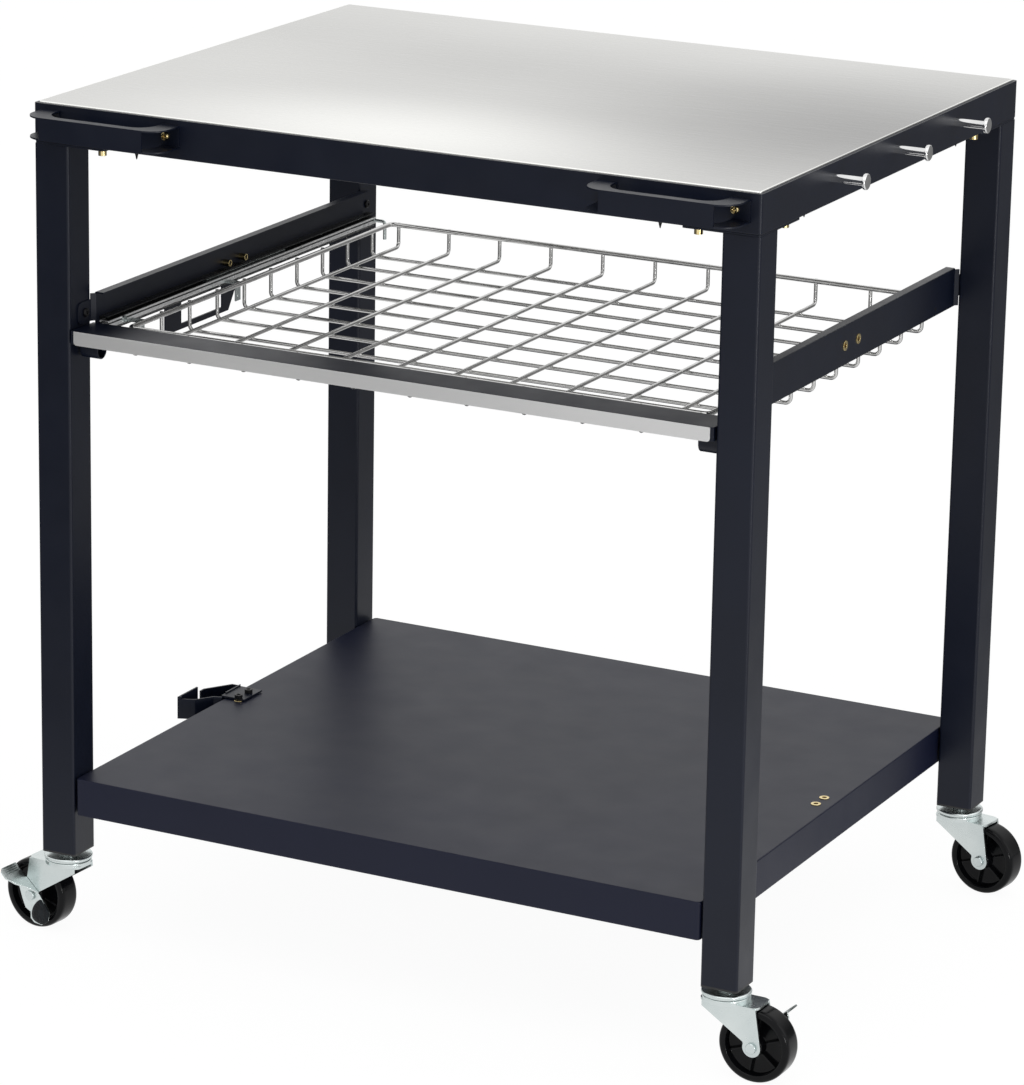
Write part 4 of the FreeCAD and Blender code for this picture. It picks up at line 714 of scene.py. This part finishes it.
def stage_floor():
    """Pale floor: white to the eye with a faint shadow; its mirror image is shaded like a studio's."""
    bm = bmesh.new()
    bmesh.ops.create_circle(bm, cap_ends=True, segments=96, radius=FLOOR_RADIUS)
    mesh = bpy.data.meshes.new("floor")
    bm.to_mesh(mesh)
    bm.free()
    floor = bpy.data.objects.new("floor", mesh)
    bpy.context.scene.collection.objects.link(floor)
    material = bpy.data.materials.new("pale_floor")
    material.use_nodes = True
    tree = material.node_tree
    tree.nodes.clear()
    v = coords(tree)
    place = split_xyz(tree, v)
    along = math_node(tree, "ADD", math_node(tree, "MULTIPLY", place["X"], FLOOR_WAY[0]),
                      math_node(tree, "MULTIPLY", place["Y"], FLOOR_WAY[1]))
    from_left = spread(tree, place["X"], FLOOR_LEFT, 1.0, *FLOOR_LEFT_SPAN)
    to_rear = spread(tree, along, 1.0, FLOOR_REAR, *FLOOR_REAR_SPAN)
    pools = []
    for at, reach, stretch, dark in FLOOR_POOLS:
        pools.append(dimmed(tree, pool(tree, v, at, reach, stretch), dark))
    mirror = math_node(tree, "MULTIPLY", math_node(tree, "MULTIPLY", from_left, to_rear),
                       math_node(tree, "MULTIPLY", *pools))
    camera, seen = ray_kinds(tree)
    strength = math_node(tree, "ADD", math_node(tree, "MULTIPLY", camera, FLOOR_WHITE),
                         math_node(tree, "MULTIPLY", math_node(tree, "SUBTRACT", 1.0, camera), mirror))
    lit = add_node(tree, "BsdfDiffuse", {"Color": FLOOR_COLOUR})
    glow = add_node(tree, "Emission", {"Color": WHITE, "Strength": strength})
    share = math_node(tree, "MULTIPLY", seen, FLOOR_SHARE)
    mix = add_node(tree, "MixShader", {"Fac": share, 1: lit.outputs[0], 2: glow.outputs[0]})
    add_node(tree, "OutputMaterial", {"Surface": mix.outputs[0]})
    mesh.materials.append(material)


def world_light():
    """An even studio: white where it is seen or mirrored, apart from the flag, and dimmer as light."""
    world = bpy.data.worlds.new("studio")
    bpy.context.scene.world = world
    world.use_nodes = True
    tree = world.node_tree
    tree.nodes.clear()
    camera, seen = ray_kinds(tree)
    way = add_node(tree, "TexCoord").outputs["Generated"]
    flag = dimmed(tree, pool(tree, way, FLAG_WAY, FLAG_REACH), FLAG_DARK)
    dim = add_node(tree, "Background", {"Color": WHITE, "Strength": WORLD_LEVEL})
    clear = math_node(tree, "MAXIMUM", camera, flag)
    white = add_node(tree, "Background", {"Color": WHITE, "Strength": clear})
    mix = add_node(tree, "MixShader", {"Fac": seen, 1: dim.outputs[0], 2: white.outputs[0]})
    add_node(tree, "OutputWorld", {"Surface": mix.outputs[0]})


def lamp(name, place, target, size, watts):
    """A rectangular lamp at place, facing target."""
    data = bpy.data.lights.new(name, "AREA")
    data.shape = "RECTANGLE"
    data.size, data.size_y = size
    data.energy = watts
    obj = bpy.data.objects.new(name, data)
    obj.location = place
    obj.rotation_mode = "QUATERNION"
    obj.rotation_quaternion = (Vector(target) - Vector(place)).to_track_quat("-Z", "Y")
    obj.visible_camera = False
    bpy.context.scene.collection.objects.link(obj)


def photo_camera():
    """The camera at the photograph's place and angle."""
    azimuth, elevation, roll = (math.radians(x) for x in (CAM_AZ, CAM_EL, CAM_ROLL))
    forward = Vector((-math.sin(azimuth) * math.cos(elevation), math.cos(azimuth) * math.cos(elevation),
                      -math.sin(elevation)))
    right = forward.cross(Vector((0, 0, 1))).normalized()
    down = forward.cross(right)
    right, down = (math.cos(roll) * right - math.sin(roll) * down,
                   math.sin(roll) * right + math.cos(roll) * down)
    data = bpy.data.cameras.new("camera")
    data.lens, data.sensor_width, data.sensor_fit = CAM_LENS, CAM_SENSOR, "AUTO"
    data.shift_x, data.shift_y = CAM_SHIFT
    data.clip_start, data.clip_end = CAM_CLIP
    camera = bpy.data.objects.new("camera", data)
    turn = Matrix((right, -down, -forward)).transposed().to_4x4()
    camera.matrix_world = Matrix.Translation(CAM_PLACE) @ turn
    bpy.context.scene.collection.objects.link(camera)
    bpy.context.scene.camera = camera


stage_floor()
world_light()
for name, settings in LAMPS.items():
    lamp(name, *settings)
photo_camera()
bpy.context.scene.view_settings.view_transform = "Standard"
